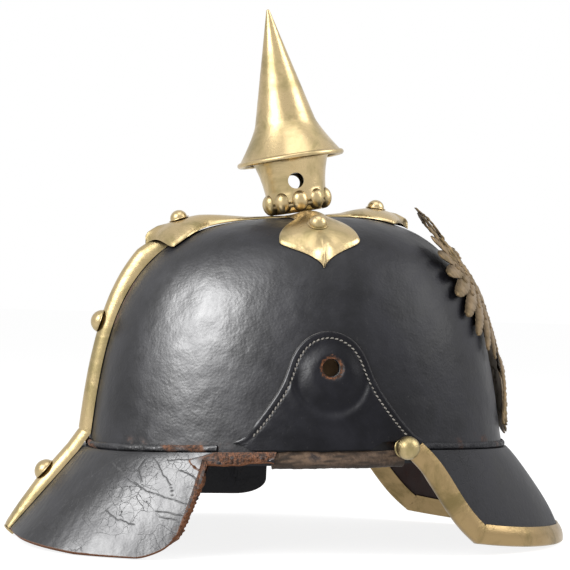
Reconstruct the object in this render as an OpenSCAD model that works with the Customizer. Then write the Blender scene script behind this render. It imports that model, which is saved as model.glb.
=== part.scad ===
// Spiked parade helmet: a black leather skull and peaks with brass spike, cross, spine and eagle plate.
// The wearer looks along -Y, +X is the wearer's left and +Z is up. The origin is on the floor
// under the middle of the helmet. All shapes are first laid out in a level helmet frame, whose
// height 0 is the seam between skull and peaks, and stance() then stands that frame on the floor.

/* [Skull] */
// Reach of the skull behind its middle, at the seam
skull_back = 113.5; // [108:0.5:118]
// Reach of the skull ahead of its middle, at the seam
skull_front = 109; // [104:0.5:114]
// Half width of the skull at the seam
skull_half_w = 91; // [86:0.5:95]
// Height of the crown above the seam
skull_h = 118; // [110:0.5:125]
// Thickness of the skull's leather
leather_t = 3; // [2:0.1:4]
// How far the skull's rim reaches below the seam
rim_drop = 7; // [5:0.1:9]
// Share by which the wall draws in on its way up
skull_taper = 0.145; // [0.1:0.005:0.18]
// How much higher the crown stands for each mm ahead
skull_lean = 0.03; // [0:0.005:0.04]
// Radius of the air hole in the crown
crown_hole_r = 9; // [6:0.5:10]

/* [Stance] */
// Angle by which the seam rises towards the front when the helmet stands
stance_tilt = 1.7; // [1:0.1:2.5]
// Height of the seam above the floor, at the middle
seam_h = 53.2; // [50:0.1:58]

/* [Front peak] */
// How far the front peak's edge reaches out from the seam
peak_reach = 33; // [25:0.5:40]
// Thickness of the peak's leather
peak_t = 2.4; // [1.8:0.1:3]
// Thickness of the lining under the front peak
lining_t = 0.8; // [0.5:0.1:1.2]
// How far the peak's corners stay above the floor
corner_rise = 7.8; // [5:0.1:10]
// Depth of the brass trim along the peak's edge
trim_depth = 8.5; // [6:0.5:11]
// Thickness of the trim's sheet
trim_t = 0.6; // [0.4:0.05:0.8]
// Radius of the ball studs at the trim's ends
ball_r = 5.9; // [4.5:0.1:7]

/* [Neck guard] */
// Distance of the neck guard's rear edge behind the helmet's middle
guard_reach = 153; // [145:0.5:160]
// Half width of the neck guard at its bottom edge
guard_half_w = 99; // [96:0.5:104]
// Thickness of the guard's leather
guard_t = 2.6; // [2:0.1:3.2]
// How far the guard's bottom edge rises towards its front ends
guard_side_rise = 12; // [8:0.5:16]
// Height of the torn strip under the seam on the wearer's right
stub_h = 7; // [5:0.5:9]

/* [Seams and edges] */
// Height of the leather welts over the seams
welt_h = 3.6; // [2.5:0.1:5]
// Thickness of the welts
welt_t = 1.6; // [1:0.1:2]
// Thickness of the binding on the skull's rim
binding_t = 0.9; // [0.6:0.1:1.2]
// Height of the binding on the rim's outside
binding_h = 7.2; // [4.5:0.1:7.4]

/* [Side patches] */
// Thickness of the side patches
patch_t = 1.6; // [1:0.1:2.2]
// Height of the patch's arch above the seam
patch_h = 59; // [50:0.5:68]
// Half length of the patch's foot
patch_foot = 48; // [42:0.5:50]
// Height of the rosette holes above the seam
rosette_up = 41; // [36:0.5:46]
// Radius of the rosette holes
rosette_r = 4.5; // [3.5:0.1:5.5]
// Height of the boss round each rosette hole
boss_h = 2.2; // [1:0.1:3]
// Radius of the boss
boss_r = 20.5; // [16:0.5:21.5]

/* [Spine] */
// Width of the brass spine
spine_w = 12; // [9:0.5:15]
// Height of the half round spine
spine_h = 5.6; // [4:0.1:7]
// Thickness of the spine's sheet
spine_t = 0.8; // [0.5:0.05:1.2]
// Distance between the spine and the leather
spine_gap = 0.8; // [0.5:0.1:0.9]

/* [Cross and studs] */
// Thickness of the cross's sheet
cross_t = 1; // [0.7:0.05:1.3]
// Half width of the cross's arms
arm_half_w = 9; // [7:0.5:11]
// Half width of the leaves at the ends of the arms
leaf_half_w = 20.8; // [16:0.1:23]
// Distance of the front stud from the cross's middle
front_stud_at = 41.8; // [38:0.1:46]
// Distance of the side studs from the cross's middle
side_stud_at = 52; // [46:0.5:54]
// Distance of the rear stud from the cross's middle
rear_stud_at = 65.7; // [58:0.1:67]
// Height of the crown pressed into the arms
arm_crown = 2.8; // [1:0.1:3.2]
// Radius of the studs' heads
stud_r = 5.5; // [3.5:0.1:6]
// Height of the studs' heads
stud_h = 4.8; // [3:0.1:6]
// Radius of the studs' shanks
shank_r = 1.5; // [1:0.05:2]

/* [Spike] */
// Angle by which the spike leans back from the upright
spike_lean = 8.8; // [0:0.1:10]
// Height of the neck from its foot to the underside of the spike
neck_h = 29; // [26:0.5:32]
// Outer radius of the neck at its waist
waist_r = 16.4; // [15:0.1:17.5]
// Thickness of the neck's sheet
neck_t = 1; // [0.7:0.05:1.3]
// Radius of the air holes through the neck
vent_r = 4.2; // [3:0.1:4.5]
// Number of pearls round the neck
pearl_count = 10; // [10:1:11]
// Height of the spike above its foot
spike_h = 81.4; // [70:0.5:95]
// Radius of the spike's flared foot
flare_r = 28.3; // [26:0.1:31]
// Thickness of the spike's sheet
spike_t = 0.9; // [0.6:0.05:1.2]
// Radius of the screw that holds the spike
screw_r = 4; // [3:0.1:4.5]
// Travel of one turn of the screw
screw_pitch = 1.5; // [1:0.1:2]
// Turns that free the spike
screw_turns = 4.5; // [3:0.25:4.5]

/* [Eagle plate] */
// Thickness of the plate
plate_t = 1.3; // [1:0.05:1.8]
// Half width across the wings
wing_half_w = 55; // [50:0.5:58]
// Height of the plate's crown above the seam
plate_h = 124; // [118:0.5:128]
// Radius of the wire loops behind the plate
loop_r = 1.1; // [0.8:0.05:1.3]

/* [Liner] */
// Height of the sweatband
band_h = 38; // [30:0.5:39]
// Thickness of the sweatband
band_t = 1.2; // [0.8:0.1:1.6]
// Number of tongues in the liner
tongue_count = 9; // [7:1:9]

/* [Fits] */
// Space between neighbouring curved pieces
seat = 0.3; // [0.25:0.01:0.4]
// Radial clearance of a shank or screw in its hole
fit = 0.05; // [0.03:0.01:0.08]

/* [Hidden] */

leather_black = [0.10, 0.10, 0.11];
leather_brown = [0.36, 0.20, 0.12];
lining_red = [0.30, 0.12, 0.10];
brass = [0.72, 0.60, 0.32];
old_bronze = [0.50, 0.40, 0.26];
pale_leather = [0.70, 0.56, 0.40];

// Middle of the skull ahead of the helmet's middle
skull_mid = 8;
// Exponents of the skull's outline seen from above, of its shoulder and of its rise
skull_plan = 2.12;
skull_in = 3.35;
skull_up = 3.5;
// Height of the spine's half round at its lower end
spine_end_h = 2;
// The origin lies halfway between the peak's front and the guard's back
front_end = skull_mid + skull_front + peak_reach + peak_t + trim_t;
rear_end = skull_mid - guard_reach - spine_end_h;
footing = (front_end + rear_end) / 2;

// A point of the level helmet frame from its distance ahead, to the wearer's left and up
function at(ahead, left, up) = [left, -ahead, up];
// Height of the floor in the level helmet frame
function floor_up(ahead) = -(seam_h + ahead * sin(stance_tilt)) / cos(stance_tilt);
// Stands the level helmet frame on the floor
module stance() {
    translate([0, footing, seam_h]) rotate([-stance_tilt, 0, 0]) children();
}
function unit(v) = v / norm(v);
function mix(a, b, share) = a + (b - a) * share;
function clamp(v) = max(0, min(1, v));
// Points from a to b in n equal steps
function steps(a, b, n) = [for (i = [0:n]) mix(a, b, i / n)];

// A closed sheet between an outer and an inner grid of points. With loop the columns close on
// themselves. The faces are turned outwards by the way the first corner looks.
module sheet(outer, inner, loop = false) {
    rows = len(outer);
    cols = len(outer[0]);
    last = loop ? cols : cols - 1;
    across = outer[1][0] - outer[0][0];
    along = outer[0][1] - outer[0][0];
    flip = cross(across, along) * (outer[0][0] - inner[0][0]) > 0;
    grid_n = rows * cols;
    function id(layer, i, j) = layer * grid_n + i * cols + j % cols;
    function quad(a, b, c, d) = flip ? [[a, b, c], [a, c, d]] : [[c, b, a], [d, c, a]];
    top = [for (i = [0:rows - 2], j = [0:last - 1])
        each quad(id(0, i, j), id(0, i, j + 1), id(0, i + 1, j + 1), id(0, i + 1, j))];
    bottom = [for (i = [0:rows - 2], j = [0:last - 1])
        each quad(id(1, i + 1, j), id(1, i + 1, j + 1), id(1, i, j + 1), id(1, i, j))];
    ends = [for (j = [0:last - 1]) each concat(
        quad(id(1, 0, j), id(1, 0, j + 1), id(0, 0, j + 1), id(0, 0, j)),
        quad(id(0, rows - 1, j), id(0, rows - 1, j + 1), id(1, rows - 1, j + 1), id(1, rows - 1, j)))];
    sides = loop ? [] : [for (i = [0:rows - 2]) each concat(
        quad(id(0, i, 0), id(0, i + 1, 0), id(1, i + 1, 0), id(1, i, 0)),
        quad(id(1, i, last), id(1, i + 1, last), id(0, i + 1, last), id(0, i, last)))];
    points = concat([for (row = outer, p = row) p], [for (row = inner, p = row) p]);
    polyhedron(points, concat(top, bottom, ends, sides), convexity = 6);
}

// A stands-on-its-point frame: moves its children to p and turns their Z to the direction n
module seated(p, n) {
    translate(p) rotate([0, acos(n[2] / norm(n)), atan2(n[1], n[0])]) children();
}

// Outline seen from above as shares of the reach ahead and to the side. Azimuth 0 is ahead,
// 90 the wearer's left.
function plan(az, n) =
    let(c = cos(az), s = sin(az), r = pow(pow(abs(c), n) + pow(abs(s), n), -1 / n)) [r * c, r * s];
// Point of the skull's ring at a share of its full size, a distance out from its outer face
function skull_ring(az, share, out, up) =
    let(u = plan(az, skull_plan), reach = u[0] > 0 ? skull_front : skull_back)
    at(skull_mid + u[0] * (reach + out) * share, u[1] * (skull_half_w + out) * share, up);
// Share of the full size left at a share of the height
function drawn_in(rise) =
    rise <= 0 ? 1 : pow(max(0, 1 - pow(rise, skull_up)), 1 / skull_in) * (1 - skull_taper * rise);
// Point of the dome at an angle t from the seam, 0, to the crown, 90
function dome_pt(az, t, out) =
    let(rise = pow(sin(t), 2 / skull_up), ring = skull_ring(az, drawn_in(rise), out, 0))
    [ring[0], ring[1], (skull_h + out - skull_lean * ring[1]) * rise];
// Share of the height reached by a point of the dome, from its height up
function rise_at(ahead, up, out) = max(0, up) / (skull_h + out + skull_lean * ahead);
// Point of the wall at a height up
function wall_pt(az, up, out) =
    let(near = skull_ring(az, 1, out, 0), rise = rise_at(-near[1], up, out))
    skull_ring(az, drawn_in(rise), out, up);
// Point of the wall on one side at a distance ahead and a height
function side_pt(ahead, up, out, side) =
    let(share = drawn_in(rise_at(ahead, up, out)), d = ahead - skull_mid,
        reach = (d > 0 ? skull_front : skull_back) + out,
        left_over = max(0, 1 - pow(abs(d) / (reach * share), skull_plan)),
        w = (skull_half_w + out) * share * pow(left_over, 1 / skull_plan))
    at(ahead, side * w, up);
// Point of the crown over a place seen from above. The share of the height is found in steps.
function crown_rise(share, rise, n) =
    n == 0 ? rise
    : let(left_over = max(0, 1 - pow(share / (1 - skull_taper * rise), skull_in)))
        crown_rise(share, pow(left_over, 1 / skull_up), n - 1);
function crown_pt(ahead, left, out) =
    let(d = ahead - skull_mid, reach = (d > 0 ? skull_front : skull_back) + out,
        sideways = abs(left) / (skull_half_w + out),
        share = pow(pow(abs(d) / reach, skull_plan) + pow(sideways, skull_plan), 1 / skull_plan),
        rise = crown_rise(share, 1, 12))
    at(ahead, left, (skull_h + out + skull_lean * ahead) * rise);
// Outward direction of the wall
function wall_normal(az, up, out) =
    unit(cross(wall_pt(az + 1, up, out) - wall_pt(az - 1, up, out),
        wall_pt(az, up + 1, out) - wall_pt(az, up - 1, out)));

// Height of the seam between skull and peaks, which dips at the front and back
seam_top = 0.3;
front_dip = 5;
rear_dip = 3;
function seam_up(az) = seam_top - (cos(az) > 0 ? front_dip : rear_dip) * pow(cos(az), 2);

// Front peak. Its corners and its ends by azimuth.
corner_az = 47.5;
peak_end_az = 70;
peak_end_h = 1.6;
// Millimetres along the wall for each degree of azimuth
arc_mm = PI / 180 * skull_half_w;
peak_full_drop = 54;
// How far the peak's side edges swing as they run up, first below and then above a straight line
side_bow = 1.8;
peak_edge_up = floor_up(skull_mid + skull_front + peak_reach) + trim_t + seat + 0.2;
function peak_bottom(az) =
    abs(az) <= corner_az
    ? peak_edge_up + corner_rise * pow(abs(az) / corner_az, 2)
    : let(run = (abs(az) - corner_az) / (peak_end_az - corner_az))
        mix(peak_edge_up + corner_rise, seam_up(peak_end_az) - peak_end_h, run) - side_bow * sin(360 * run);
function peak_flare(az) = peak_reach * pow(max(0, cos(90 * az / peak_end_az)), 2.7);
function peak_base(az, up) =
    let(ring = skull_ring(az, 1, seat, up),
        side = unit(cross(skull_ring(az + 1, 1, 0, up) - skull_ring(az - 1, 1, 0, up), [0, 0, 1])),
        drop = clamp((seam_up(az) - up) / peak_full_drop))
    ring + side * peak_flare(az) * (1 - pow(1 - drop, 1.45));
function peak_normal(az, up) =
    let(n = unit(cross(peak_base(az + 1, up) - peak_base(az - 1, up),
            peak_base(az, up + 0.5) - peak_base(az, up - 0.5))),
        level = clamp((seam_up(az) - up) / 7))
    unit([n[0], n[1], n[2] * level]);
// Point of the peak at an azimuth and height, a distance out from its inner face
function peak_pt(az, up, out) = peak_base(az, up) + peak_normal(az, up) * out;
// Azimuths along the peak's edge, with a step at each corner
peak_columns = concat(steps(-peak_end_az, -corner_az, 6),
    [for (i = [1:23]) mix(-corner_az, corner_az, i / 24)], steps(corner_az, peak_end_az, 6));
// Direction from the peak's edge into the leather, in degrees and mm for each mm
side_run = [(peak_end_az - corner_az) * arc_mm,
    seam_up(peak_end_az) - peak_end_h - peak_edge_up - corner_rise];
side_in = [-side_run[1] / norm(side_run) / arc_mm, side_run[0] / norm(side_run)];
corner_in = side_in[0] * arc_mm / (1 + side_in[1]) / arc_mm;
function edge_in(az) =
    abs(az) <= corner_az ? [corner_in * az / corner_az, 1] : [side_in[0] * sign(az), side_in[1]];
// Point of the peak's edge strip, a distance into the leather from its edge
function strip_pt(az, into, out) =
    let(d = edge_in(az)) peak_pt(az + d[0] * into, peak_bottom(az) + d[1] * into, out);

// Neck guard. Azimuths of its front end on the left, of its torn edge and of the torn strip's end.
guard_left_az = 91;
guard_tear_az = 241;
guard_stub_az = 256;
guard_plan = 3;
guard_corner = 11;
// Where the bottom edge starts to rise towards the front, and over what length
guard_rise_from = -88;
guard_rise_over = 50;
// The bottom edge rises again towards the spine's foot, which passes under it
guard_low_at = -118;
guard_rear_rise = 2.4;
function guard_edge(az) =
    let(u = plan(az, guard_plan), ahead = skull_mid + u[0] * guard_reach,
        side = clamp((ahead - guard_rise_from) / guard_rise_over))
    at(ahead, u[1] * guard_half_w, floor_up(ahead) + guard_side_rise * pow(side, 1.3)
        + guard_rear_rise * clamp((guard_low_at - ahead) / (guard_reach - skull_mid + guard_low_at)));
function guard_base(az, t) =
    let(top = skull_ring(az, 1, seat, seam_up(az)), edge = guard_edge(az)) mix(top, edge, t);
function guard_normal(az, t) =
    let(n = unit(cross(guard_base(az + 1, t) - guard_base(az - 1, t), guard_base(az, 0) - guard_base(az, 1))))
    unit([n[0], n[1], n[2] * clamp(t / 0.12)]);
function guard_pt(az, t, out) = guard_base(az, t) + guard_normal(az, t) * out;
// Share of the full depth that the guard keeps: a round corner at its left end and at the
// tear, and a ragged strip beyond the tear
function round_off(mm, r) = mm >= r ? 0 : r - sqrt(r * r - pow(r - max(0, mm), 2));
function guard_depth(az) =
    az > guard_tear_az + 0.4
    ? (stub_h + 0.8 * sin(az * 97)) / 50
    : 1 - (round_off((az - guard_left_az) * arc_mm, guard_corner)
        + round_off((guard_tear_az + 0.4 - az) * arc_mm, guard_corner)) / 50;
// The torn edge swings back just under the seam and forward again below it
tear_swing = 5.5;
function torn_az(az, t) =
    az - tear_swing * clamp((az - guard_tear_az + 14) / 14) * clamp((guard_tear_az + 2 - az) / 2)
        * exp(-pow((t - 0.1) / 0.09, 2));
guard_columns = concat(
    [for (i = [0:4]) guard_left_az + guard_corner / arc_mm * i / 4],
    [for (i = [1:30])
        mix(guard_left_az + guard_corner / arc_mm, guard_tear_az - guard_corner / arc_mm, i / 30)],
    [for (i = [1:5]) guard_tear_az - guard_corner / arc_mm * (1 - sin(90 * i / 5))],
    [for (i = [0:4]) mix(guard_tear_az + 0.9, guard_stub_az, i / 4)]);

// Spine. Its path runs up the middle of the guard and of the skull's back.
spine_top_t = 58;
function spine_line(k) =
    k < 1 ? let(p = guard_pt(180, 1.01 - 0.95 * k, guard_t)) [p[1], p[2]]
    : let(p = dome_pt(180, spine_top_t * pow(k - 1, 2), 0)) [p[1], p[2]];
function spine_dir(k) = unit(spine_line(k + 0.02) - spine_line(k - 0.02));
spine_top = 1.985;
spine_stops = concat(steps(0, 0.96, 9), steps(1.05, spine_top, 17));
// Towards the crown the spine's section grows deeper from here on, to close in under the cross
spine_leave = 1.45;
function spine_deeper(k) = 3.3 * pow(clamp((k - spine_leave) / 0.5), 1.6);
// Height of the half round along the spine: low at the foot, and flattened under the cross
function spine_rise(k) =
    k < 1 ? mix(spine_end_h, spine_h, pow(clamp(k / 0.5), 0.7))
    : spine_deeper(k) + mix(spine_h, spine_end_h, clamp((k - spine_flat) / (spine_top - spine_flat)));
spine_flat = 1.88;
// Point of the spine's half round section. At its foot the hollow closes.
function spine_pt(k, angle, less) =
    let(p = spine_line(k), d = spine_dir(k), n = [d[1], -d[0]],
        open = k == 0 && less > 0 ? 0.02 : 1,
        lift = spine_gap + (spine_rise(k) - less) * sin(angle) * open,
        w = (spine_w / 2 - less) * cos(angle))
    [w, p[0] + n[0] * lift, p[1] + n[1] * lift];
// Places of the two studs on the spine
spine_stud_low = 0.62;
spine_stud_high = 1.575;

// Cross. Its middle, and its arms as direction and distance of the stud.
cross_mid = 8.2;
leaf_before = 16;
leaf_after = 18;
// Share of a leaf's length at which it is widest
leaf_widest = 0.6;
arm_steps = 14;
arm_lanes = 8;
arm_turns = [0, 90, 180, 270];
arm_stud_at = [front_stud_at, side_stud_at, rear_stud_at, side_stud_at];
// The rear arm is lifted to pass over the top of the spine, and the front arm a little. Each starts
// to lift at a distance from the cross's middle.
rear_lift = 10.7;
front_lift = 2.4;
lift_from = [22, 0, 18, 0];
function arm_width(d, stud_at) =
    let(q = (d - stud_at + leaf_before) / (leaf_before + leaf_after))
    q <= 0 ? arm_half_w
    : q < leaf_widest ? mix(arm_half_w, leaf_half_w, pow(sin(90 * q / leaf_widest), 1.4))
    : 0.3 + leaf_half_w * pow(0.5 + 0.5 * cos(180 * pow((q - leaf_widest) / (1 - leaf_widest), 0.9)), 0.8);
function arm_lift(k, d) =
    let(share = clamp((d - lift_from[k]) / (arm_stud_at[k] + leaf_after - lift_from[k])))
    k == 2 ? rear_lift * pow(share, 1.7) : k == 0 ? front_lift * sin(165 * share) : 0;
// Distances from the middle at which the crown pressed into an arm starts and is full
crown_from = [12, 9, 30, 9];
crown_full = [38, 27, 55, 27];
function arm_rise(k, d) =
    mix(0.3, arm_crown, clamp((d - crown_from[k]) / (crown_full[k] - crown_from[k])));
// Share by which the edges of a lifted arm bend back down to the skull, less towards the point
function arm_hug(k, d) =
    let(q = (d - arm_stud_at[k] + leaf_before) / (leaf_before + leaf_after))
    0.9 * (q < leaf_widest ? 1 : pow(min(1, arm_width(d, arm_stud_at[k]) / leaf_half_w), 2));
// Point of arm k at a distance from the middle and a share v of its half width
function arm_pt(k, d, v, layer) =
    let(w = d <= arm_half_w ? arm_half_w : arm_width(d, arm_stud_at[k]),
        rise = arm_rise(k, d) * (1 - v * v * (d < arm_half_w ? pow(d / arm_half_w, 2) : 1)),
        ahead = cross_mid + d * cos(arm_turns[k]) - v * w * sin(arm_turns[k]),
        left = d * sin(arm_turns[k]) + v * w * cos(arm_turns[k]))
    crown_pt(ahead, left, seat + layer) + [0, 0, rise + arm_lift(k, d) * (1 - arm_hug(k, d) * v * v)];

// Neck and spike. The neck's heel rests on the cross behind the middle, and its axis leans back.
foot_r = 12.5;
heel_ahead = -4.9;
heel_up = crown_pt(heel_ahead, 0, seat + cross_t)[2] + arm_rise(0, 0) + seat;
flare_ahead = heel_ahead + foot_r * cos(spike_lean) - neck_h * sin(spike_lean);
flare_up = heel_up + foot_r * sin(spike_lean) + neck_h * cos(spike_lean);
// Moves its children to the spike's axis, with height 0 at the foot of the spike
module on_axis() {
    translate(at(flare_ahead, 0, flare_up)) rotate([-spike_lean, 0, 0]) children();
}
// Outer radius of the neck at a height below the spike's foot, as a smooth line of stations
neck_top = 0.5;
neck_stations = [[-neck_h, foot_r], [-0.8 * neck_h, waist_r + 0.5], [-0.6 * neck_h, waist_r],
    [-0.42 * neck_h, waist_r + 0.7], [-0.25 * neck_h, waist_r + 1.7], [-0.1 * neck_h, waist_r + 3],
    [neck_top, waist_r + 4.1]];
// Radius of the spike at a height above its foot: a cone with a flare added at the foot
tip_r = 1;
cone_foot_r = 21.4;
flare_h = 20;
function spike_r(h) =
    mix(cone_foot_r, tip_r, h / (spike_h - tip_r))
    + (flare_r - cone_foot_r) * pow(max(0, 1 - h / flare_h), 1.35);
spike_levels = concat([for (i = [0:7]) flare_h * pow(i / 7, 1.2)],
    [for (i = [1:4]) mix(flare_h, spike_h - tip_r, i / 4)]);
bead_r = 1.5;
floor_at = 0.8;
floor_t = 1;
bush_top = -1.5;
screw_travel = screw_pitch * screw_turns;
screw_end = bush_top - screw_travel + 0.2;
bush_t = 4.5;

// A stud: a round head, pointed by pull, with its shank below
module stud(head_r, head_h, shank_l, pull = 1) {
    rotate_extrude($fn = 48) polygon(concat([[0, -shank_l], [shank_r, -shank_l], [shank_r, 0]],
        [for (a = [0:15:75]) [head_r * cos(a), head_h * pow(sin(a), pull)]], [[0, head_h]]));
}
nut_r = 3.9;
nut_t = 2.4;
// Space between each nut of the cross and the curved skull
nut_gap = [0.6, 0.6, 1.0, 0.6];
// A square nut whose top lies at height 0
module nut() {
    difference() {
        translate([0, 0, -nut_t]) rotate([0, 0, 45]) cylinder(r = nut_r, h = nut_t, $fn = 4);
        translate([0, 0, -nut_t - 1]) cylinder(r = shank_r + fit, h = nut_t + 2, $fn = 32);
    }
}
// Depth of the skull's inner face below a piece seated on it
inside_wall = leather_t + seat;

// Places on the arms where the studs of the cross sit, and the way they point
function base_stud_pt(k) = arm_pt(k, arm_stud_at[k], 0, cross_t);
function base_stud_n(k) =
    let(d = arm_stud_at[k], n = unit(cross(arm_pt(k, d + 2, 0, 0) - arm_pt(k, d - 2, 0, 0),
        arm_pt(k, d, 0.1, 0) - arm_pt(k, d, -0.1, 0)))) n * sign(n[2]);
// Moves its children to a stud of the cross, with Z outwards
module at_base_stud(k) { seated(base_stud_pt(k), base_stud_n(k)) children(); }
// Depth from a stud's seat on the cross to the skull's inner face, found in steps
function depth_to_inside(p, n, s, turns) =
    turns == 0 ? s
    : let(q = p - n * s, over = q[2] - crown_pt(-q[1], q[0], -leather_t)[2])
        depth_to_inside(p, n, s + over * n[2], turns - 1);
function held_by_stud(k) = depth_to_inside(base_stud_pt(k), base_stud_n(k), leather_t + seat + cross_t, 8);
module base_shanks(r) {
    for (k = [0:3]) at_base_stud(k) translate([0, 0, -26]) cylinder(r = r, h = 30, $fn = 32);
}

function spine_stud_pt(k) = spine_pt(k, 90, 0);
function spine_stud_n(k) = let(d = spine_dir(k)) [0, d[1], -d[0]];
// Depth from a stud's seat on the spine to the inner face of the leather
function held_by_spine(k) = spine_rise(k) + spine_gap + (k < 1 ? guard_t : leather_t);
module at_spine_stud(k) { seated(spine_stud_pt(k), spine_stud_n(k)) children(); }
module spine_shanks(r) {
    for (k = [spine_stud_low, spine_stud_high])
        at_spine_stud(k) translate([0, 0, -18]) cylinder(r = r, h = 24, $fn = 32);
}

// Ball studs at the trim's upper ends
ball_az = 71.5;
ball_up = 1;
ball_out = seat + peak_t + trim_t + seat;
module at_ball(side) {
    seated(wall_pt(side * ball_az, ball_up, ball_out), wall_normal(side * ball_az, ball_up, 0)) children();
}
tab_r = 5.2;

module rosette_bores(r) {
    for (side = [-1, 1])
        translate(at(skull_mid, side * (skull_half_w - 20), rosette_up))
            rotate([0, side * 90, 0]) cylinder(r = r, h = 40, $fn = 64);
}

// Eagle plate. Its surface stands a little ahead of the skull's front and bends back with it.
plate_foot_up = -3;
plate_ahead = skull_mid + skull_front + 1.6;
// How far it bends back over the skull's full height and over its full half width
plate_back = 56;
plate_bow = 66.2;
function plate_face(left, up, out) =
    at(plate_ahead - plate_back * pow(max(0, up - 15) / skull_h, 2.09)
        - plate_bow * pow(left / skull_half_w, 2) + 0.025 * pow(max(0, 12 - up), 2) + out, left, up);
// The eagle is drawn on a field of its own, which these sizes stretch to the plate's
drawn_half_w = 55;
drawn_h = 124;
function plate_at(left, up, out) =
    plate_face(left * wing_half_w / drawn_half_w, up * plate_h / drawn_h, out);
function plate_normal(left, up) =
    unit(cross(plate_at(left + 1, up, 0) - plate_at(left - 1, up, 0),
        plate_at(left, up + 1, 0) - plate_at(left, up - 1, 0)));
// Loops behind the plate
loop_left = 36;
loop_up = 62;
loop_gap = 2.4;
loop_in = leather_t + 4.4;

module loop_holes() {
    for (side = [-1, 1], s = [-1, 1])
        translate(side_front(side * loop_left + s * loop_gap, loop_up)) rotate([90, 0, 0])
            cylinder(r = loop_r + 0.3, h = 40, center = true, $fn = 24);
}
// Point of the skull's front at a distance to the side and a height
function side_front(left, up) =
    let(share = drawn_in(rise_at(skull_front, up, 0)))
    let(left_over = 1 - pow(abs(left) / (skull_half_w * share), skull_plan))
    at(skull_mid + skull_front * share * pow(left_over, 1 / skull_plan), left, up);

module skull() {
    az_list = [for (i = [0:53]) 360 * i / 54];
    t_list = concat([for (i = [0:15]) 84 * i / 15], [87, 89]);
    function rings(out) = concat([[for (az = az_list) skull_ring(az, 1, out, -rim_drop)]],
        [for (t = t_list) [for (az = az_list) dome_pt(az, t, out)]]);
    color(leather_black) stance() difference() {
        sheet(rings(0), rings(-leather_t), loop = true);
        on_axis() translate([0, 0, -60]) cylinder(r = crown_hole_r, h = 60, $fn = 48);
        rosette_bores(rosette_r);
        base_shanks(shank_r + fit);
        spine_shanks(shank_r + fit);
        for (side = [-1, 1])
            at_ball(side) translate([0, 0, -20]) cylinder(r = shank_r + fit, h = 40, $fn = 32);
        loop_holes();
    }
}

// Half length of the patch's arch at a share of its height: an ogee, round at the top
function patch_half(q) = patch_foot * (q < 0.55
    ? mix(1, 0.47, pow(q / 0.55, 0.75))
    : 0.47 * sqrt(max(0, 1 - 0.5 * ((q - 0.55) / 0.45) - 0.5 * pow((q - 0.55) / 0.45, 2.6))));
patch_ahead = 7.5;
patch_low = 4.4;
// Between its feet the patch hangs lower, down to the binding
function patch_skirt(ahead) = 3.5 * clamp((34 - ahead) / 6) * clamp((ahead + 38) / 6);
module side_patch(side) {
    levels = [for (i = [0:12]) sin(90 * pow(i / 12, 0.8)) * 0.995];
    function grid(out) = [for (q = levels) [for (v = steps(-1, 1, 10))
        let(ahead = patch_ahead + v * patch_half(q))
        side_pt(ahead, mix(patch_low, patch_h, q) - (q == 0 ? patch_skirt(ahead) : 0), out, side)]];
    color(leather_black) stance() difference() {
        union() {
            sheet(grid(seat + patch_t), grid(seat));
            difference() {
                translate(at(skull_mid, 0, rosette_up - boss_below)) rotate([0, side * 90, 0])
                    translate([0, 0, boss_foot]) boss();
                sheet(grid(seat + patch_t / 2), grid(-15));
            }
        }
        rosette_bores(rosette_r);
        at_ball(side) translate([0, 0, -20]) cylinder(r = shank_r + 1, h = 40, $fn = 32);
    }
}
// The boss sits a little below the rosette hole
boss_below = 4.4;
// The boss: a low dome with a round groove near its rim. Its foot is sunk into the patch.
boss_foot = side_pt(skull_mid, rosette_up + 14, seat, 1)[0];
module boss() {
    rise = side_pt(skull_mid, rosette_up, seat + patch_t, 1)[0] - boss_foot + boss_h;
    rotate_extrude($fn = 64) polygon([[0, 0], [boss_r - 0.8, 0], [boss_r - 1.5, rise - 1.2],
        [boss_r - 3.5, rise - 1.7], [boss_r - 5, rise - 0.8], [boss_r - 9, rise], [0, rise]]);
}
module side_patch_right() { side_patch(-1); }
module side_patch_left() { side_patch(1); }

module front_peak() {
    function grid(out) = [for (az = peak_columns) [for (t = steps(0, 1, 8))
        peak_pt(az, mix(seam_up(az), peak_bottom(az), t), out)]];
    color(leather_black) stance() sheet(grid(peak_t), grid(0));
}

// Space left by the glue between the peak and its lining
lining_gap = 0.2;
module front_peak_lining() {
    keep = [for (az = peak_columns) if (abs(az) < peak_end_az - 10) az];
    function grid(out) = [for (az = keep) [for (t = steps(0, 1, 6))
        peak_pt(az, mix(-rim_drop - 2, peak_bottom(az), t), out)]];
    color(lining_red) stance() sheet(grid(-lining_gap), grid(-lining_gap - lining_t));
}

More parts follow.
